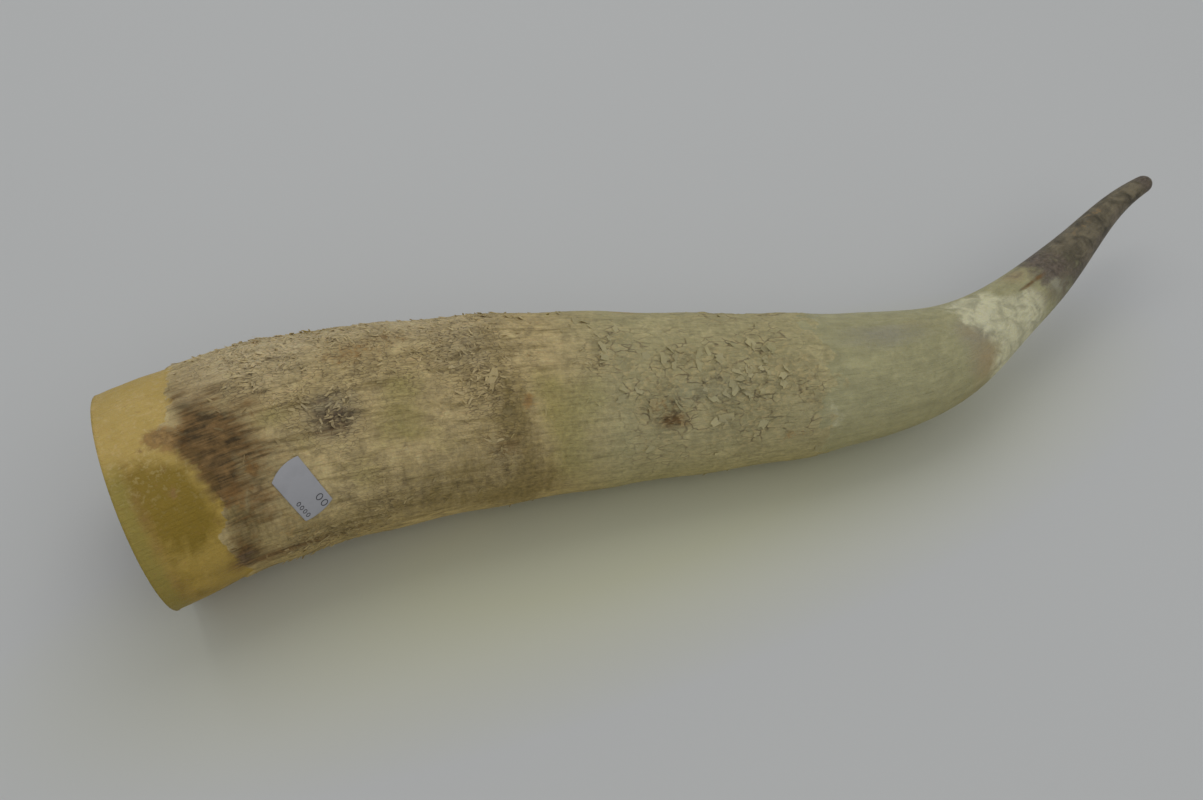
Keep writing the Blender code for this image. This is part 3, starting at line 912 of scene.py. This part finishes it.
def horn_grains(nodes):
    """Noises, distances and marks that the colours and the bumps of the horn share."""
    straight = shader_attribute(nodes, "straight", "Vector")
    place = nodes.add("ShaderNodeTexCoord", output="Object")
    axes = nodes.add("ShaderNodeSeparateXYZ", {"Vector": straight}).node.outputs
    swirl = nodes.add("ShaderNodeTexNoise",
                      {"Vector": straight, "Scale": 1 / (9.0 * MM), "Detail": 2.0}, output="Color")
    thin, thin_cracks = flaked(nodes, straight, nodes.scaled(swirl, 3.0), (3.4, 1.1, 1.1))
    flat, flat_cracks = flaked(nodes, straight, nodes.scaled(swirl, 1.6), (7.5, 3.6, 3.6))
    speck = grain(nodes, straight, 2.0, 4.0)
    return SimpleNamespace(
        along=axes["X"], side=axes["Y"], above=axes["Z"], speck=speck,
        blotch=grain(nodes, straight, 24.0, 3.0),
        mottle=grain(nodes, straight, 7.0, 5.0, distortion=0.6),
        fine=grain(nodes, place, 0.9, 3.0),
        fibre=grain(nodes, straight, 1.1, 4.0, (0.07, 1.0, 1.0), 0.15),
        streak=grain(nodes, straight, 3.4, 4.0, (0.14, 1.0, 1.0), 0.3),
        hoop=grain(nodes, straight, 3.0, 4.0, (1.0, 0.2, 0.2), 0.3),
        thin=thin, thin_cracks=thin_cracks, flat=flat, flat_cracks=flat_cracks,
        flaky=shader_attribute(nodes, "flaky"),
        cover=worn_mask(nodes, "cover", speck, 0.8, 0.4, 0.6),
        far=ramp(nodes, axes["X"], *FLAT_FLAKES_FROM))


def waxy_colour(nodes, colours, grains):
    """Sawn base below the bark: pale on top, amber on the near side, with a thin painted glow along the
    rim.
    """
    blotch, mottle, speck = grains.blotch, grains.mottle, grains.speck
    colour = shades(nodes, colours.ochre, blotch, 0.38, 0.66, 0.82, 1.12)
    pale = ramp(nodes, nodes.plus(grains.above, nodes.times(mottle, 0.03)), 0.042, 0.064)
    colour = mix(nodes, nodes.times(pale, 0.85), colour, colours.cream_base)
    colour = patched(nodes, colour, (
        ("cream", mottle, 0.6, 0.2, 1.0, 0.8, colours.cream_base),
        ("amber", mottle, 1.8, 0.15, 0.95, 0.85, colours.amber)))
    colour = mix(nodes, nodes.times(ramp(nodes, blotch, 0.5, 0.7), 0.3), colour, colours.amber)
    # Painted glow in a strip along the saw cut on the near side, then a thin rust line
    from_cut = nodes.plus(shader_attribute(nodes, "rim"), nodes.times(mottle, 0.007))
    near = ramp(nodes, grains.side, -0.006, -0.018)
    strip = nodes.times(ramp(nodes, from_cut, 0.0125, 0.0080), near)
    colour = mix(nodes, nodes.times(strip, 0.85), colour, colours.rim_glow)
    line = nodes.times(ramp(nodes, from_cut, 0.0080, 0.0110), ramp(nodes, from_cut, 0.0150, 0.0120))
    line = nodes.times(line, nodes.times(near, ramp(nodes, blotch, 0.42, 0.6)))
    colour = mix(nodes, nodes.times(line, 0.45), colour, colours.rust)
    tiny = nodes.times(ramp(nodes, speck, 0.57, 0.68), ramp(nodes, mottle, 0.45, 0.6))
    colour = mix(nodes, nodes.times(tiny, 0.5), colour, colours.rust)
    chalky = nodes.times(ramp(nodes, speck, 0.47, 0.36), pale)
    return mix(nodes, nodes.times(chalky, 0.35), colour, colours.chalk)


def bark_colour(nodes, colours, grains):
    """Dry bark with its bands, clear places and weathered parts."""
    mottle, speck = grains.mottle, grains.speck
    colour = shades(nodes, colours.tan, mottle, 0.36, 0.62, 0.74, 1.16)
    colour = patched(nodes, colour, (("mauve", mottle, 0.6, 0.2, 0.8, 0.8, colours.mauve),))
    streaky = nodes.times(ramp(nodes, grains.streak, 0.5, 0.68), 0.7)
    colour = mix(nodes, streaky, colour, tinted(colours.olive, 0.85))
    clear = shades(nodes, colours.window, speck, 0.3, 0.7, 0.93, 1.06)
    banded = nodes.times(nodes.plus(grains.hoop, mottle), 0.5)
    colour = patched(nodes, colour, (
        ("window", mottle, 1.3, 0.25, 0.95, 0.85, clear),
        ("cream", mottle, 0.6, 0.2, 0.9, 0.8, colours.pale_bark),
        ("olive", banded, 1.9, 0.25, 0.9, 0.85, shades(nodes, colours.olive, speck, 0.35, 0.65)),
        ("grey", mottle, 0.9, 0.25, 0.85, 0.65, colours.grey)))
    flat = shades(nodes, colours.smooth, mottle, 0.36, 0.64, 0.88, 1.08)
    return mix(nodes, nodes.times(grains.far, 0.7), colour, flat)


def smooth_colour(nodes, colours, grains):
    """Smooth horn beyond the bark, with its pale mottled part and the dark tip."""
    mottle, streak = grains.mottle, grains.streak
    colour = streaked(nodes, shades(nodes, colours.smooth, mottle, 0.36, 0.64, 0.9, 1.06), streak)
    pale = shades(nodes, colours.cream, mottle, 0.4, 0.6, 0.8, 1.25)
    colour = patched(nodes, colour, (
        ("grey", streak, 0.9, 0.2, 0.8, 0.8, colours.grey),
        ("mauve", mottle, 0.8, 0.2, 1.0, 0.75, colours.mauve),
        ("olive", mottle, 0.9, 0.2, 0.8, 0.6, colours.olive),
        ("cream", mottle, 1.0, 0.25, 0.7, 0.9, pale)))
    tip = streaked(nodes, shades(nodes, colours.tip, mottle, 0.36, 0.62, 0.6, 1.7), streak)
    tip_edge = nodes.plus(grains.along, nodes.times(mottle, 0.08))
    return mix(nodes, ramp(nodes, tip_edge, *TIP_FROM), colour, tip)


def stains_over(nodes, colours, grains, colour, flakes):
    """Colour with the shaded underside, rust, stain and soot over it, fainter on loose flakes."""
    mottle, speck = grains.mottle, grains.speck
    # Painted shade: the underside is darkened towards the bottom
    below = nodes.times(ramp(nodes, grains.above, *UNDERSIDE_BELOW),
                        ramp(nodes, grains.along, *UNDERSIDE_UNTIL))
    colour = mix(nodes, below, colour, UNDERSIDE_SHADE, "MULTIPLY")
    rusty = nodes.times(nodes.plus(mottle, speck), 0.5)
    uneven = nodes.times(nodes.plus(mottle, grains.streak), 0.5)
    fibrous = nodes.times(nodes.plus(grains.fibre, mottle), 0.5)
    return patched(nodes, colour, (
        ("rust", rusty, 3.4, 0.25, 0.85, 0.85, shades(nodes, colours.rust, speck, 0.35, 0.65)),
        ("stain", uneven, 3.2, 0.15, 1.0, 0.72 if flakes else 0.9,
         shades(nodes, colours.stain, fibrous, 0.40, 0.60, 0.5, 2.4)),
        ("soot", uneven, 3.0, 0.2, 0.95, 0.51 if flakes else 0.85,
         shades(nodes, colours.soot, speck, 0.35, 0.65, 0.7, 1.6))))


def shade_and_marks_over(nodes, colours, grains, colour, flakes):
    """Colour with painted shade in cracks and the hole, dark lines, a streaky grit and fine dark hairs.
    """
    # Painted shade in the cracks between flakes, fainter on loose flakes
    flat_cracks = nodes.times(grains.flat_cracks, ramp(nodes, grains.mottle, 0.46, 0.58))
    cracks = mix_number(nodes, grains.far, grains.thin_cracks, flat_cracks)
    cracks = nodes.times(cracks, ramp(nodes, grains.flaky, 0.03, 0.45))
    colour = mix(nodes, nodes.times(cracks, 0.18 if flakes else 0.72), colour, colours.dirt)
    # Painted shade of cracks and the hole, and the dark lines, as the mesh holds them
    colour = mix(nodes, nodes.times(shader_attribute(nodes, "dirt"), 0.6), colour, colours.dirt)
    grit = nodes.times(nodes.plus(grains.fibre, grains.speck), 0.5)
    shade = mix(nodes, ramp(nodes, grit, 0.36, 0.64), (0.2, 0.2, 0.2), (0.84, 0.84, 0.84))
    gritty = nodes.plus(0.12, nodes.times(grains.cover, 0.22))
    colour = mix(nodes, gritty, colour, shade, "OVERLAY")
    hairs = nodes.times(ramp(nodes, grains.fibre, 0.57, 0.66), ramp(nodes, grains.mottle, 0.42, 0.6))
    hairs = nodes.times(hairs, nodes.plus(0.06, nodes.times(grains.cover, 0.3)))
    return mix(nodes, hairs, colour, colours.dirt)


def ridge_highlights_over(nodes, colours, grains, colour, flakes):
    """Colour with painted highlights: on loose flakes by their random tone, on the skin's flakes by
    their height, with painted shade between them.
    """
    if flakes:
        paler = nodes.plus(ramp(nodes, grains.along, 0.2, 0.15), 0.3)
        lifted = nodes.times(paler, nodes.plus(0.15, shader_attribute(nodes, "tone")))
        lifted = nodes.times(lifted, 0.36)
    else:
        # Painted shade on the ground between the flakes
        shaded = nodes.times(ramp(nodes, grains.flaky, 0.2, 0.8), ramp(nodes, grains.speck, 0.4, 0.6))
        colour = mix(nodes, nodes.times(shaded, 0.45), colour, GROUND_SHADE, "MULTIPLY")
        lifted = nodes.times(ramp(nodes, grains.thin, 0.35, 0.9), 0.3)
    # Painted highlight: a lighter tan on the raised flakes and ridges
    painted_highlight = nodes.times(lifted, ramp(nodes, grains.flaky, 0.1, 0.6))
    return mix(nodes, painted_highlight, colour, tinted(colours.tan, 1.25))


def horn_bumps(nodes, grains):
    """Height of the fine texture: thin flakes near the base, flat ones further on, and grain."""
    flakes = mix_number(nodes, grains.far, grains.thin, grains.flat)
    flakes = nodes.times(flakes, ramp(nodes, grains.flaky, 0.05, 0.7))
    texture = nodes.plus(nodes.times(grains.fibre, 0.7), nodes.times(grains.fine, 0.35))
    return nodes.plus(flakes, nodes.plus(texture, nodes.times(grains.speck, 0.7)))


def horn_material(name, flakes=False):
    """Keratin from waxy base over bark to the dark tip."""
    colours = bpy.context.scene.horn_colours
    material, nodes, shader = new_material(name)
    grains = horn_grains(nodes)
    colour = mix(nodes, ramp(nodes, grains.along, *SMOOTH_FROM), waxy_colour(nodes, colours, grains),
                 smooth_colour(nodes, colours, grains))
    colour = mix(nodes, grains.cover, colour, bark_colour(nodes, colours, grains))
    for layer in (stains_over, shade_and_marks_over, ridge_highlights_over):
        colour = layer(nodes, colours, grains, colour, flakes)
    roughness = nodes.plus(nodes.plus(0.40, nodes.times(grains.cover, 0.3)),
                           nodes.times(grains.speck, 0.1))
    surface = {
        "Base Color": colour, "Roughness": roughness, "Specular IOR Level": 0.22,
        "Subsurface Weight": 0.15, "Subsurface Radius": (1.0, 0.75, 0.3),
        "Subsurface Scale": 4.0 * MM}
    for socket, value in surface.items():
        nodes.feed(shader.inputs[socket], value)
    add_bump(nodes, shader, horn_bumps(nodes, grains), 1.0, 0.9 * MM)
    return material


def paper_material():
    """White paper, a little soiled."""
    label = bpy.context.scene.horn_label
    material, nodes, shader = new_material("label paper")
    place = nodes.add("ShaderNodeTexCoord", output="Object")
    pulp = grain(nodes, place, 0.5, 3.0)
    soil = grain(nodes, place, 7.0, 2.0)
    colour = mix(nodes, ramp(nodes, soil, 0.45, 0.8), label.paper, tinted(label.paper, 0.9))
    nodes.feed(shader.inputs["Base Color"], colour)
    nodes.feed(shader.inputs["Roughness"], 0.55)
    add_bump(nodes, shader, pulp, 0.1, 0.1 * MM)
    return material


def ink_material():
    """Dark ink, worn thin in places."""
    label = bpy.context.scene.horn_label
    material, nodes, shader = new_material("label ink")
    place = nodes.add("ShaderNodeTexCoord", output="Object")
    uneven = ramp(nodes, grain(nodes, place, 0.4, 2.0), 0.5, 0.8)
    colour = mix(nodes, nodes.times(uneven, 0.35), label.ink, label.paper)
    nodes.feed(shader.inputs["Base Color"], colour)
    nodes.feed(shader.inputs["Roughness"], 0.5)
    return material


def floor_material():
    """Pale cloth colour, with a painted soft warm glow beside the horn."""
    studio = bpy.context.scene.horn_studio
    material, nodes, shader = new_material("pale floor")
    place = nodes.add("ShaderNodeTexCoord", output="Object")
    cloudy = grain(nodes, place, 300.0, 2.0)
    colour = mix(nodes, cloudy, studio.floor, tinted(studio.floor, 0.97))
    # Painted warm glow on the floor beside the horn
    near_horn = nodes.add("ShaderNodeMapping", {"Vector": place, "Location": (0.055, 0.048, 0.0)})
    shape = nodes.add("ShaderNodeMapping", {"Vector": near_horn, "Scale": (4.0, 14.0, 1.0)})
    painted_glow = ramp(nodes, nodes.vector("LENGTH", shape, output=1), 1.2, 0.4)
    colour = mix(nodes, painted_glow, colour, PAINTED_FLOOR_GLOW, "MULTIPLY")
    nodes.feed(shader.inputs["Base Color"], colour)
    nodes.feed(shader.inputs["Roughness"], 0.8)
    return material


# Pieces

def finish_piece(item, node):
    """A piece of the horn: it rides on the whole, and stands for a node of the model."""
    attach(item, "root")
    if node:
        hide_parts(node)


def ring_places():
    """Distances of the skin's rings: close on the bark, wider towards the tip."""
    shape = bpy.context.scene.horn_shape
    bark = np.arange(0.0, CLOSE_RINGS_END * MM, shape.ring_spacing)
    last = LENGTH - shape.tip_rounding
    count = round((last - bark[-1]) / (WIDER_RINGS * shape.ring_spacing))
    smooth = np.linspace(bark[-1], last, count + 1)[1:]
    cap = LENGTH - shape.tip_rounding * (1 - np.array(TIP_RINGS))
    return np.concatenate((bark, smooth, cap))


def leaned(ring, angle, radius):
    """Distances along rings that lie in the saw's plane at the base and turn square further on."""
    return ring + saw_shift(angle, radius) * np.clip(1.0 - ring / (LEAN_END * MM), 0.0, 1.0)


def outside_rings():
    """Distances and angles of the skin's points."""
    shape = bpy.context.scene.horn_shape
    angles = np.linspace(0.0, 2 * math.pi, shape.sides, endpoint=False)
    angles -= shape.crowding * np.sin(angles - math.radians(112))
    ring, angle = np.meshgrid(ring_places(), angles, indexing="ij")
    return leaned(ring, angle, half_width(np.zeros_like(ring))), angle


def build_sheath():
    """Skin, rim and hollow as one closed mesh."""
    shape = bpy.context.scene.horn_shape
    s, angle = outside_rings()
    radius = half_width(s)
    height, dirt, flaky, cover = surface_relief(s, angle)
    height[0] *= 0.5
    depth = np.linspace(0.0, 1.0, HOLLOW_RINGS, endpoint=False) * shape.hollow_depth
    ring, inner_angle = np.meshgrid(depth, angle[0], indexing="ij")
    start_radius = half_width(np.zeros(1))[0] - shape.rim_wall
    inner_s = leaned(ring, inner_angle, np.full_like(ring, start_radius))
    taper = 1.0 - np.clip(inner_s / shape.hollow_depth, 0.0, 1.0) ** HOLLOW_TAPER
    inner_radius = np.maximum((half_width(inner_s) - shape.rim_wall) * taper, 0.4 * MM)

    count, sides = s.shape
    inner_start = count * sides
    tip_index = inner_start + HOLLOW_RINGS * sides
    faces = [grid_faces(count, sides), grid_faces(HOLLOW_RINGS, sides, inner_start, flip=True)]
    here = np.arange(sides)
    after = (here + 1) % sides
    faces.append(np.stack([inner_start + here, inner_start + after, after, here], axis=-1))
    last, deep = (count - 1) * sides, inner_start + (HOLLOW_RINGS - 1) * sides
    fans = [(last + a, last + b, tip_index) for a, b in zip(here, after)]
    fans += [(deep + b, deep + a, tip_index + 1) for a, b in zip(here, after)]
    all_faces = [tuple(face) for face in np.concatenate(faces).tolist()] + fans

    def joined(outer, inner, ends):
        return np.concatenate((outer.ravel(), np.broadcast_to(inner, inner_s.shape).ravel(), ends))

    all_s = joined(s, inner_s, (LENGTH, shape.hollow_depth))
    all_angle = joined(angle, inner_angle, (0.0, 0.0))
    still = (0.0, 0.0)
    inner_height = 0.25 * MM * rough(straightened(inner_s, inner_angle) / (12 * MM), 97)
    inner_height[0] = 0.0
    # The mesh also holds the painted shade of cracks and the hole with the dark lines
    extra = {"dirt": joined(dirt, 0.0, still), "flaky": joined(flaky, 0.0, still),
             "cover": joined(cover, 0.0, still),
             "rim": joined(s - saw_shift(angle, radius[0] * np.ones_like(s)), 0.0, (1.0, 1.0))}
    for name, patches in COLOUR_PATCHES.items():
        extra[name] = joined(patch_strength(patches, s, angle), 0.0, still)
    return mesh_on_horn(
        "horn_sheath", all_faces, all_s, all_angle, joined(radius, inner_radius, still),
        joined(height, inner_height, still), horn_material("horn keratin"), extra)


def flake_sheets(mesh, rng, stretch, curl, number):
    """Points of one flake's top and underside, fixed at the tip side and lifted at the other."""
    steps_along, steps_across = FLAKE_STEPS
    bend = curl * rng.uniform(0.7, 1.3)
    ragged = rng.uniform(-0.14, 0.14, (2, steps_along + 1, steps_across + 1, 2))
    twist = rng.uniform(-0.25, 0.25)
    bow = rng.uniform(0.08, 0.26) * (1 if number % 2 else -1)
    sheets = []
    for thickness in (0.0, 0.07):
        rows = []
        for i in range(steps_along + 1):
            u = i / steps_along
            row = []
            for j in range(steps_across + 1):
                v = 2 * j / steps_across - 1
                width = 0.5 * stretch[1] * (1 - 0.45 * (2 * u - 1) ** 2)
                free = 1 - u
                x = stretch[0] * (u - 0.5) + 0.4 * ragged[0, i, j, 0] * stretch[0]
                y = v * width + ragged[0, i, j, 1] * stretch[1] * 0.5 + twist * free * 0.3
                y += bow * (2 * u - 1) ** 2
                z = bend * free**1.8 - 0.22 * v * v * bend * (1 - free) - 0.10 * u - 0.02
                row.append(mesh.verts.new((x, y, z - thickness * (0.3 + 0.7 * u))))
            rows.append(row)
        sheets.append(rows)
    return sheets


def flake_collection(name, seed, stretch, curl):
    """Four curled flakes of unit size, closed and thin."""
    group = bpy.data.collections.new(name)
    rng = np.random.default_rng(seed)
    steps_along, steps_across = FLAKE_STEPS
    edge = [(i, 0) for i in range(steps_along)] + [(steps_along, j) for j in range(steps_across)]
    edge += [(i, steps_across) for i in range(steps_along, 0, -1)]
    edge += [(0, j) for j in range(steps_across, 0, -1)]
    for number in range(4):
        mesh = bmesh.new()
        top, under = flake_sheets(mesh, rng, stretch, curl, number)
        for i in range(steps_along):
            for j in range(steps_across):
                mesh.faces.new((top[i][j], top[i + 1][j], top[i + 1][j + 1], top[i][j + 1]))
                mesh.faces.new((under[i][j], under[i][j + 1], under[i + 1][j + 1], under[i + 1][j]))
        for (i, j), (k, m) in zip(edge, edge[1:] + edge[:1]):
            mesh.faces.new((top[k][m], top[i][j], under[i][j], under[k][m]))
        bmesh.ops.recalc_face_normals(mesh, faces=mesh.faces)
        data = bpy.data.meshes.new(f"{name}_{number}")
        mesh.to_mesh(data)
        mesh.free()
        group.objects.link(bpy.data.objects.new(data.name, data))
    return group


def scatter_flakes(name, flakes, per_area, size, spread, reach, material, seed):
    """One mesh of flakes on the skin between two distances from the base."""
    sheath = bpy.data.objects["horn_sheath"]
    item = bpy.data.objects.new(name, sheath.data.copy())
    bpy.context.scene.collection.objects.link(item)
    tree = bpy.data.node_groups.get("Scatter flakes") or flake_tree()
    run_tree(item, tree, {
        "Flakes": flakes, "Per area": float(per_area), "Size": size, "Turn": spread,
        "From": reach[0], "Until": reach[1], "Seed": seed, "Material": material})
    for flake in list(flakes.objects):
        bpy.data.objects.remove(flake)
    bpy.data.collections.remove(flakes)
    return item


def label_spot(along, across):
    """Distance and angle of a point of the label, given along and across its own sides."""
    label = bpy.context.scene.horn_label
    s = label.place + along * math.cos(label.slant) + across * math.sin(label.slant)
    sideways = along * math.sin(label.slant) - across * math.cos(label.slant)
    return s, label.angle + sideways / half_width(s)


def paper_lift(step, share, s, angle):
    """Height of the paper's underside over the plain oval, a little more at its corners."""
    corner = np.clip(np.abs(step) - 0.55, 0, 1) * np.clip(np.abs(share) - 0.3, 0, 1)
    at = straightened(s, angle)
    waves = 0.05 * rough(at / (6 * MM), 101, 2)
    return (PAPER_RISE + CORNER_RISE * corner + waves) * MM


def build_label():
    """Thin paper on the bark, a little proud at its corners."""
    label = bpy.context.scene.horn_label
    long_steps, cross_steps = 52, 32
    share, step = np.meshgrid(np.linspace(-1, 1, cross_steps + 1), np.linspace(-1, 1, long_steps + 1),
                              indexing="ij")
    reach = label.length / 2 - label.bulge * share**2
    s, angle = label_spot(reach * step, share * label.width / 2)
    lift = paper_lift(step, share, s, angle)
    rows, columns = s.shape
    grid = np.arange(s.size).reshape(rows, columns)
    corners = (grid[:-1, :-1], grid[:-1, 1:], grid[1:, 1:], grid[1:, :-1])
    quads = np.stack(corners, axis=-1).reshape(-1, 4)
    rim = np.concatenate((grid[0, :-1], grid[:-1, -1], grid[-1, :0:-1], grid[:0:-1, 0]))
    after = np.roll(rim, -1)
    skirt = np.stack([rim, rim + s.size, after + s.size, after], axis=-1)
    faces = np.concatenate((quads[:, ::-1], quads + s.size, skirt[:, ::-1]))
    twice = [np.concatenate((value.ravel(), value.ravel())) for value in (s, angle, half_width(s))]
    height = np.concatenate((lift.ravel(), lift.ravel() + PAPER_THICKNESS * MM))
    item = mesh_on_horn("price_label_paper", [tuple(face) for face in faces.tolist()], *twice, height,
                        paper_material())
    outward(item)
    return item


def outward(item):
    """Turns all faces of a closed mesh outwards."""
    mesh = bmesh.new()
    mesh.from_mesh(item.data)
    bmesh.ops.recalc_face_normals(mesh, faces=mesh.faces)
    mesh.to_mesh(item.data)
    mesh.free()


def build_print():
    """Plain noughts in two sizes, as thin ink on the paper."""
    label = bpy.context.scene.horn_label
    # Shares of the label's half length and half width, then half sizes and stroke in millimetres
    noughts = [(0.54 + 0.27 * k, 0.52, 1.3, 1.85, 0.42) for k in range(2)]
    noughts += [(0.24 + 0.175 * k, -0.64, 0.8, 1.2, 0.34) for k in range(4)]
    steps = 28
    circle = np.linspace(0, 2 * math.pi, steps, endpoint=False)
    parts, faces = [], []
    for long_share, cross_share, half_wide, half_high, stroke in noughts:
        start = len(parts) * steps
        for shrink, level in ((0, 0), (0, INK_THICKNESS), (stroke, INK_THICKNESS), (stroke, 0)):
            along = long_share * label.length / 2 + (half_wide - shrink) * MM * np.cos(circle)
            across = cross_share * label.width / 2 + (half_high - shrink) * MM * np.sin(circle)
            s, angle = label_spot(along, across)
            lift = paper_lift(2 * along / label.length, 2 * across / label.width, s, angle)
            parts.append((s, angle, lift + (PAPER_THICKNESS + INK_GAP + level) * MM))
        for k in range(4):
            for i in range(steps):
                j = (i + 1) % steps
                a, b = start + k * steps, start + ((k + 1) % 4) * steps
                faces.append((a + i, a + j, b + j, b + i))
    s, angle, height = (np.concatenate(values) for values in zip(*parts))
    item = mesh_on_horn("price_label_print", faces, s, angle, half_width(s), height, ink_material())
    outward(item)
    return item


class HORN_OT_sheath(Operator):
    """Build the sheath of the horn with its bark, rim and hollow"""

    bl_idname = "horn.sheath"
    bl_label = "Sheath"

    def execute(self, context):
        finish_piece(build_sheath(), "horn")
        return {"FINISHED"}


class HORN_OT_flakes(Operator):
    """Scatter curls and flat scales of bark over the flaky patches"""

    bl_idname = "horn.flakes"
    bl_label = "Curls and scales"

    def execute(self, context):
        bark = context.scene.horn_bark
        material = horn_material("bark flakes", flakes=True)
        stretch, bend, spread = CURL_SHAPE
        curls = flake_collection("curl", bark.seed, stretch, bend)
        item = scatter_flakes("bark_curls", curls, bark.curl_count, bark.curl_size, spread,
                              (0.0, bark.curl_end), material, bark.seed)
        finish_piece(item, None)
        stretch, bend, spread = SCALE_SHAPE
        scales = flake_collection("scale", bark.seed + 1, stretch, bend)
        item = scatter_flakes("bark_scales", scales, bark.scale_count, bark.scale_size, spread,
                              (bark.scale_start, bark.scale_end), material, bark.seed + 1)
        finish_piece(item, None)
        return {"FINISHED"}


class HORN_OT_label(Operator):
    """Build the price label and its printed noughts"""

    bl_idname = "horn.label"
    bl_label = "Price label"

    def execute(self, context):
        finish_piece(build_label(), "price_label")
        finish_piece(build_print(), None)
        return {"FINISHED"}


class HORN_OT_stage(Operator):
    """Lay the pale floor, hang the soft light and set the camera"""

    bl_idname = "horn.stage"
    bl_label = "Studio"

    def execute(self, context):
        studio = context.scene.horn_studio
        build_floor()
        build_lights(studio)
        build_camera(studio)
        return {"FINISHED"}


def build_floor():
    """Large flat floor."""
    mesh = bmesh.new()
    bmesh.ops.create_grid(mesh, x_segments=2, y_segments=2, size=FLOOR_REACH)
    data = bpy.data.meshes.new("floor")
    mesh.to_mesh(data)
    mesh.free()
    data.materials.append(floor_material())
    item = bpy.data.objects.new("floor", data)
    bpy.context.scene.collection.objects.link(item)


def build_lights(studio):
    """Even light from all round and two soft panels over the horn."""
    world = bpy.data.worlds.new("studio")
    world.use_nodes = True
    background = world.node_tree.nodes["Background"]
    background.inputs["Color"].default_value = (0.97, 0.985, 1.0, 1.0)
    background.inputs["Strength"].default_value = studio.sky
    bpy.context.scene.world = world
    panels = (("behind", studio.key, 0.55, -22), ("in front", studio.front, -1.0, 38))
    for name, power, place, lean in panels:
        light = bpy.data.lights.new(name, "AREA")
        light.shape = "RECTANGLE"
        light.size, light.size_y = PANEL_SIZE
        light.energy = power
        light.color = (1.0, 0.985, 0.96)
        item = bpy.data.objects.new(name, light)
        lift = Matrix.Translation((0.05, place, PANEL_HEIGHT))
        item.matrix_world = lift @ Matrix.Rotation(math.radians(lean), 4, "X")
        bpy.context.scene.collection.objects.link(item)


def build_camera(studio):
    """Camera at the photograph's place and angle."""
    camera = bpy.data.cameras.new("camera")
    camera.sensor_width = 36.0
    camera.lens = studio.lens
    camera.clip_start = 0.01
    item = bpy.data.objects.new("camera", camera)
    turned = (Matrix.Rotation(-studio.heading, 4, "Z")
              @ Matrix.Rotation(math.radians(90) - studio.elevation, 4, "X")
              @ Matrix.Rotation(studio.bank, 4, "Z"))
    item.matrix_world = Matrix.Translation(CAMERA_PLACE) @ turned
    bpy.context.scene.collection.objects.link(item)
    bpy.context.scene.camera = item
    bpy.context.scene.view_settings.view_transform = "Standard"


class HORN_PT_panel(Panel):
    """Lists the pieces of the horn and their sizes"""

    bl_idname = "HORN_PT_panel"
    bl_label = "Watusi horn"
    bl_space_type = "VIEW_3D"
    bl_region_type = "UI"
    bl_category = "Horn"

    def draw(self, context):
        for operator in OPERATORS:
            self.layout.operator(operator.bl_idname)
        for name in GROUPS:
            group = getattr(context.scene, name)
            box = self.layout.box()
            for label in group.__annotations__:
                box.prop(group, label)


OPERATORS = (HORN_OT_sheath, HORN_OT_flakes, HORN_OT_label, HORN_OT_stage)
GROUPS = {
    "horn_shape": HornShape, "horn_bark": BarkFinish, "horn_colours": HornColours,
    "horn_label": LabelSize, "horn_studio": StudioSetting,
}
CLASSES = (*GROUPS.values(), *OPERATORS, HORN_PT_panel)


def register():
    for item in CLASSES:
        bpy.utils.register_class(item)
    for name, group in GROUPS.items():
        setattr(bpy.types.Scene, name, PointerProperty(type=group))


def unregister():
    for name in GROUPS:
        delattr(bpy.types.Scene, name)
    for item in reversed(CLASSES):
        bpy.utils.unregister_class(item)


def main():
    """Builds every piece and the stage."""
    register()
    bpy.ops.horn.sheath()
    bpy.ops.horn.flakes()
    bpy.ops.horn.label()
    bpy.ops.horn.stage()
    bpy.context.view_layer.update()


if __name__ == "__main__":
    main()
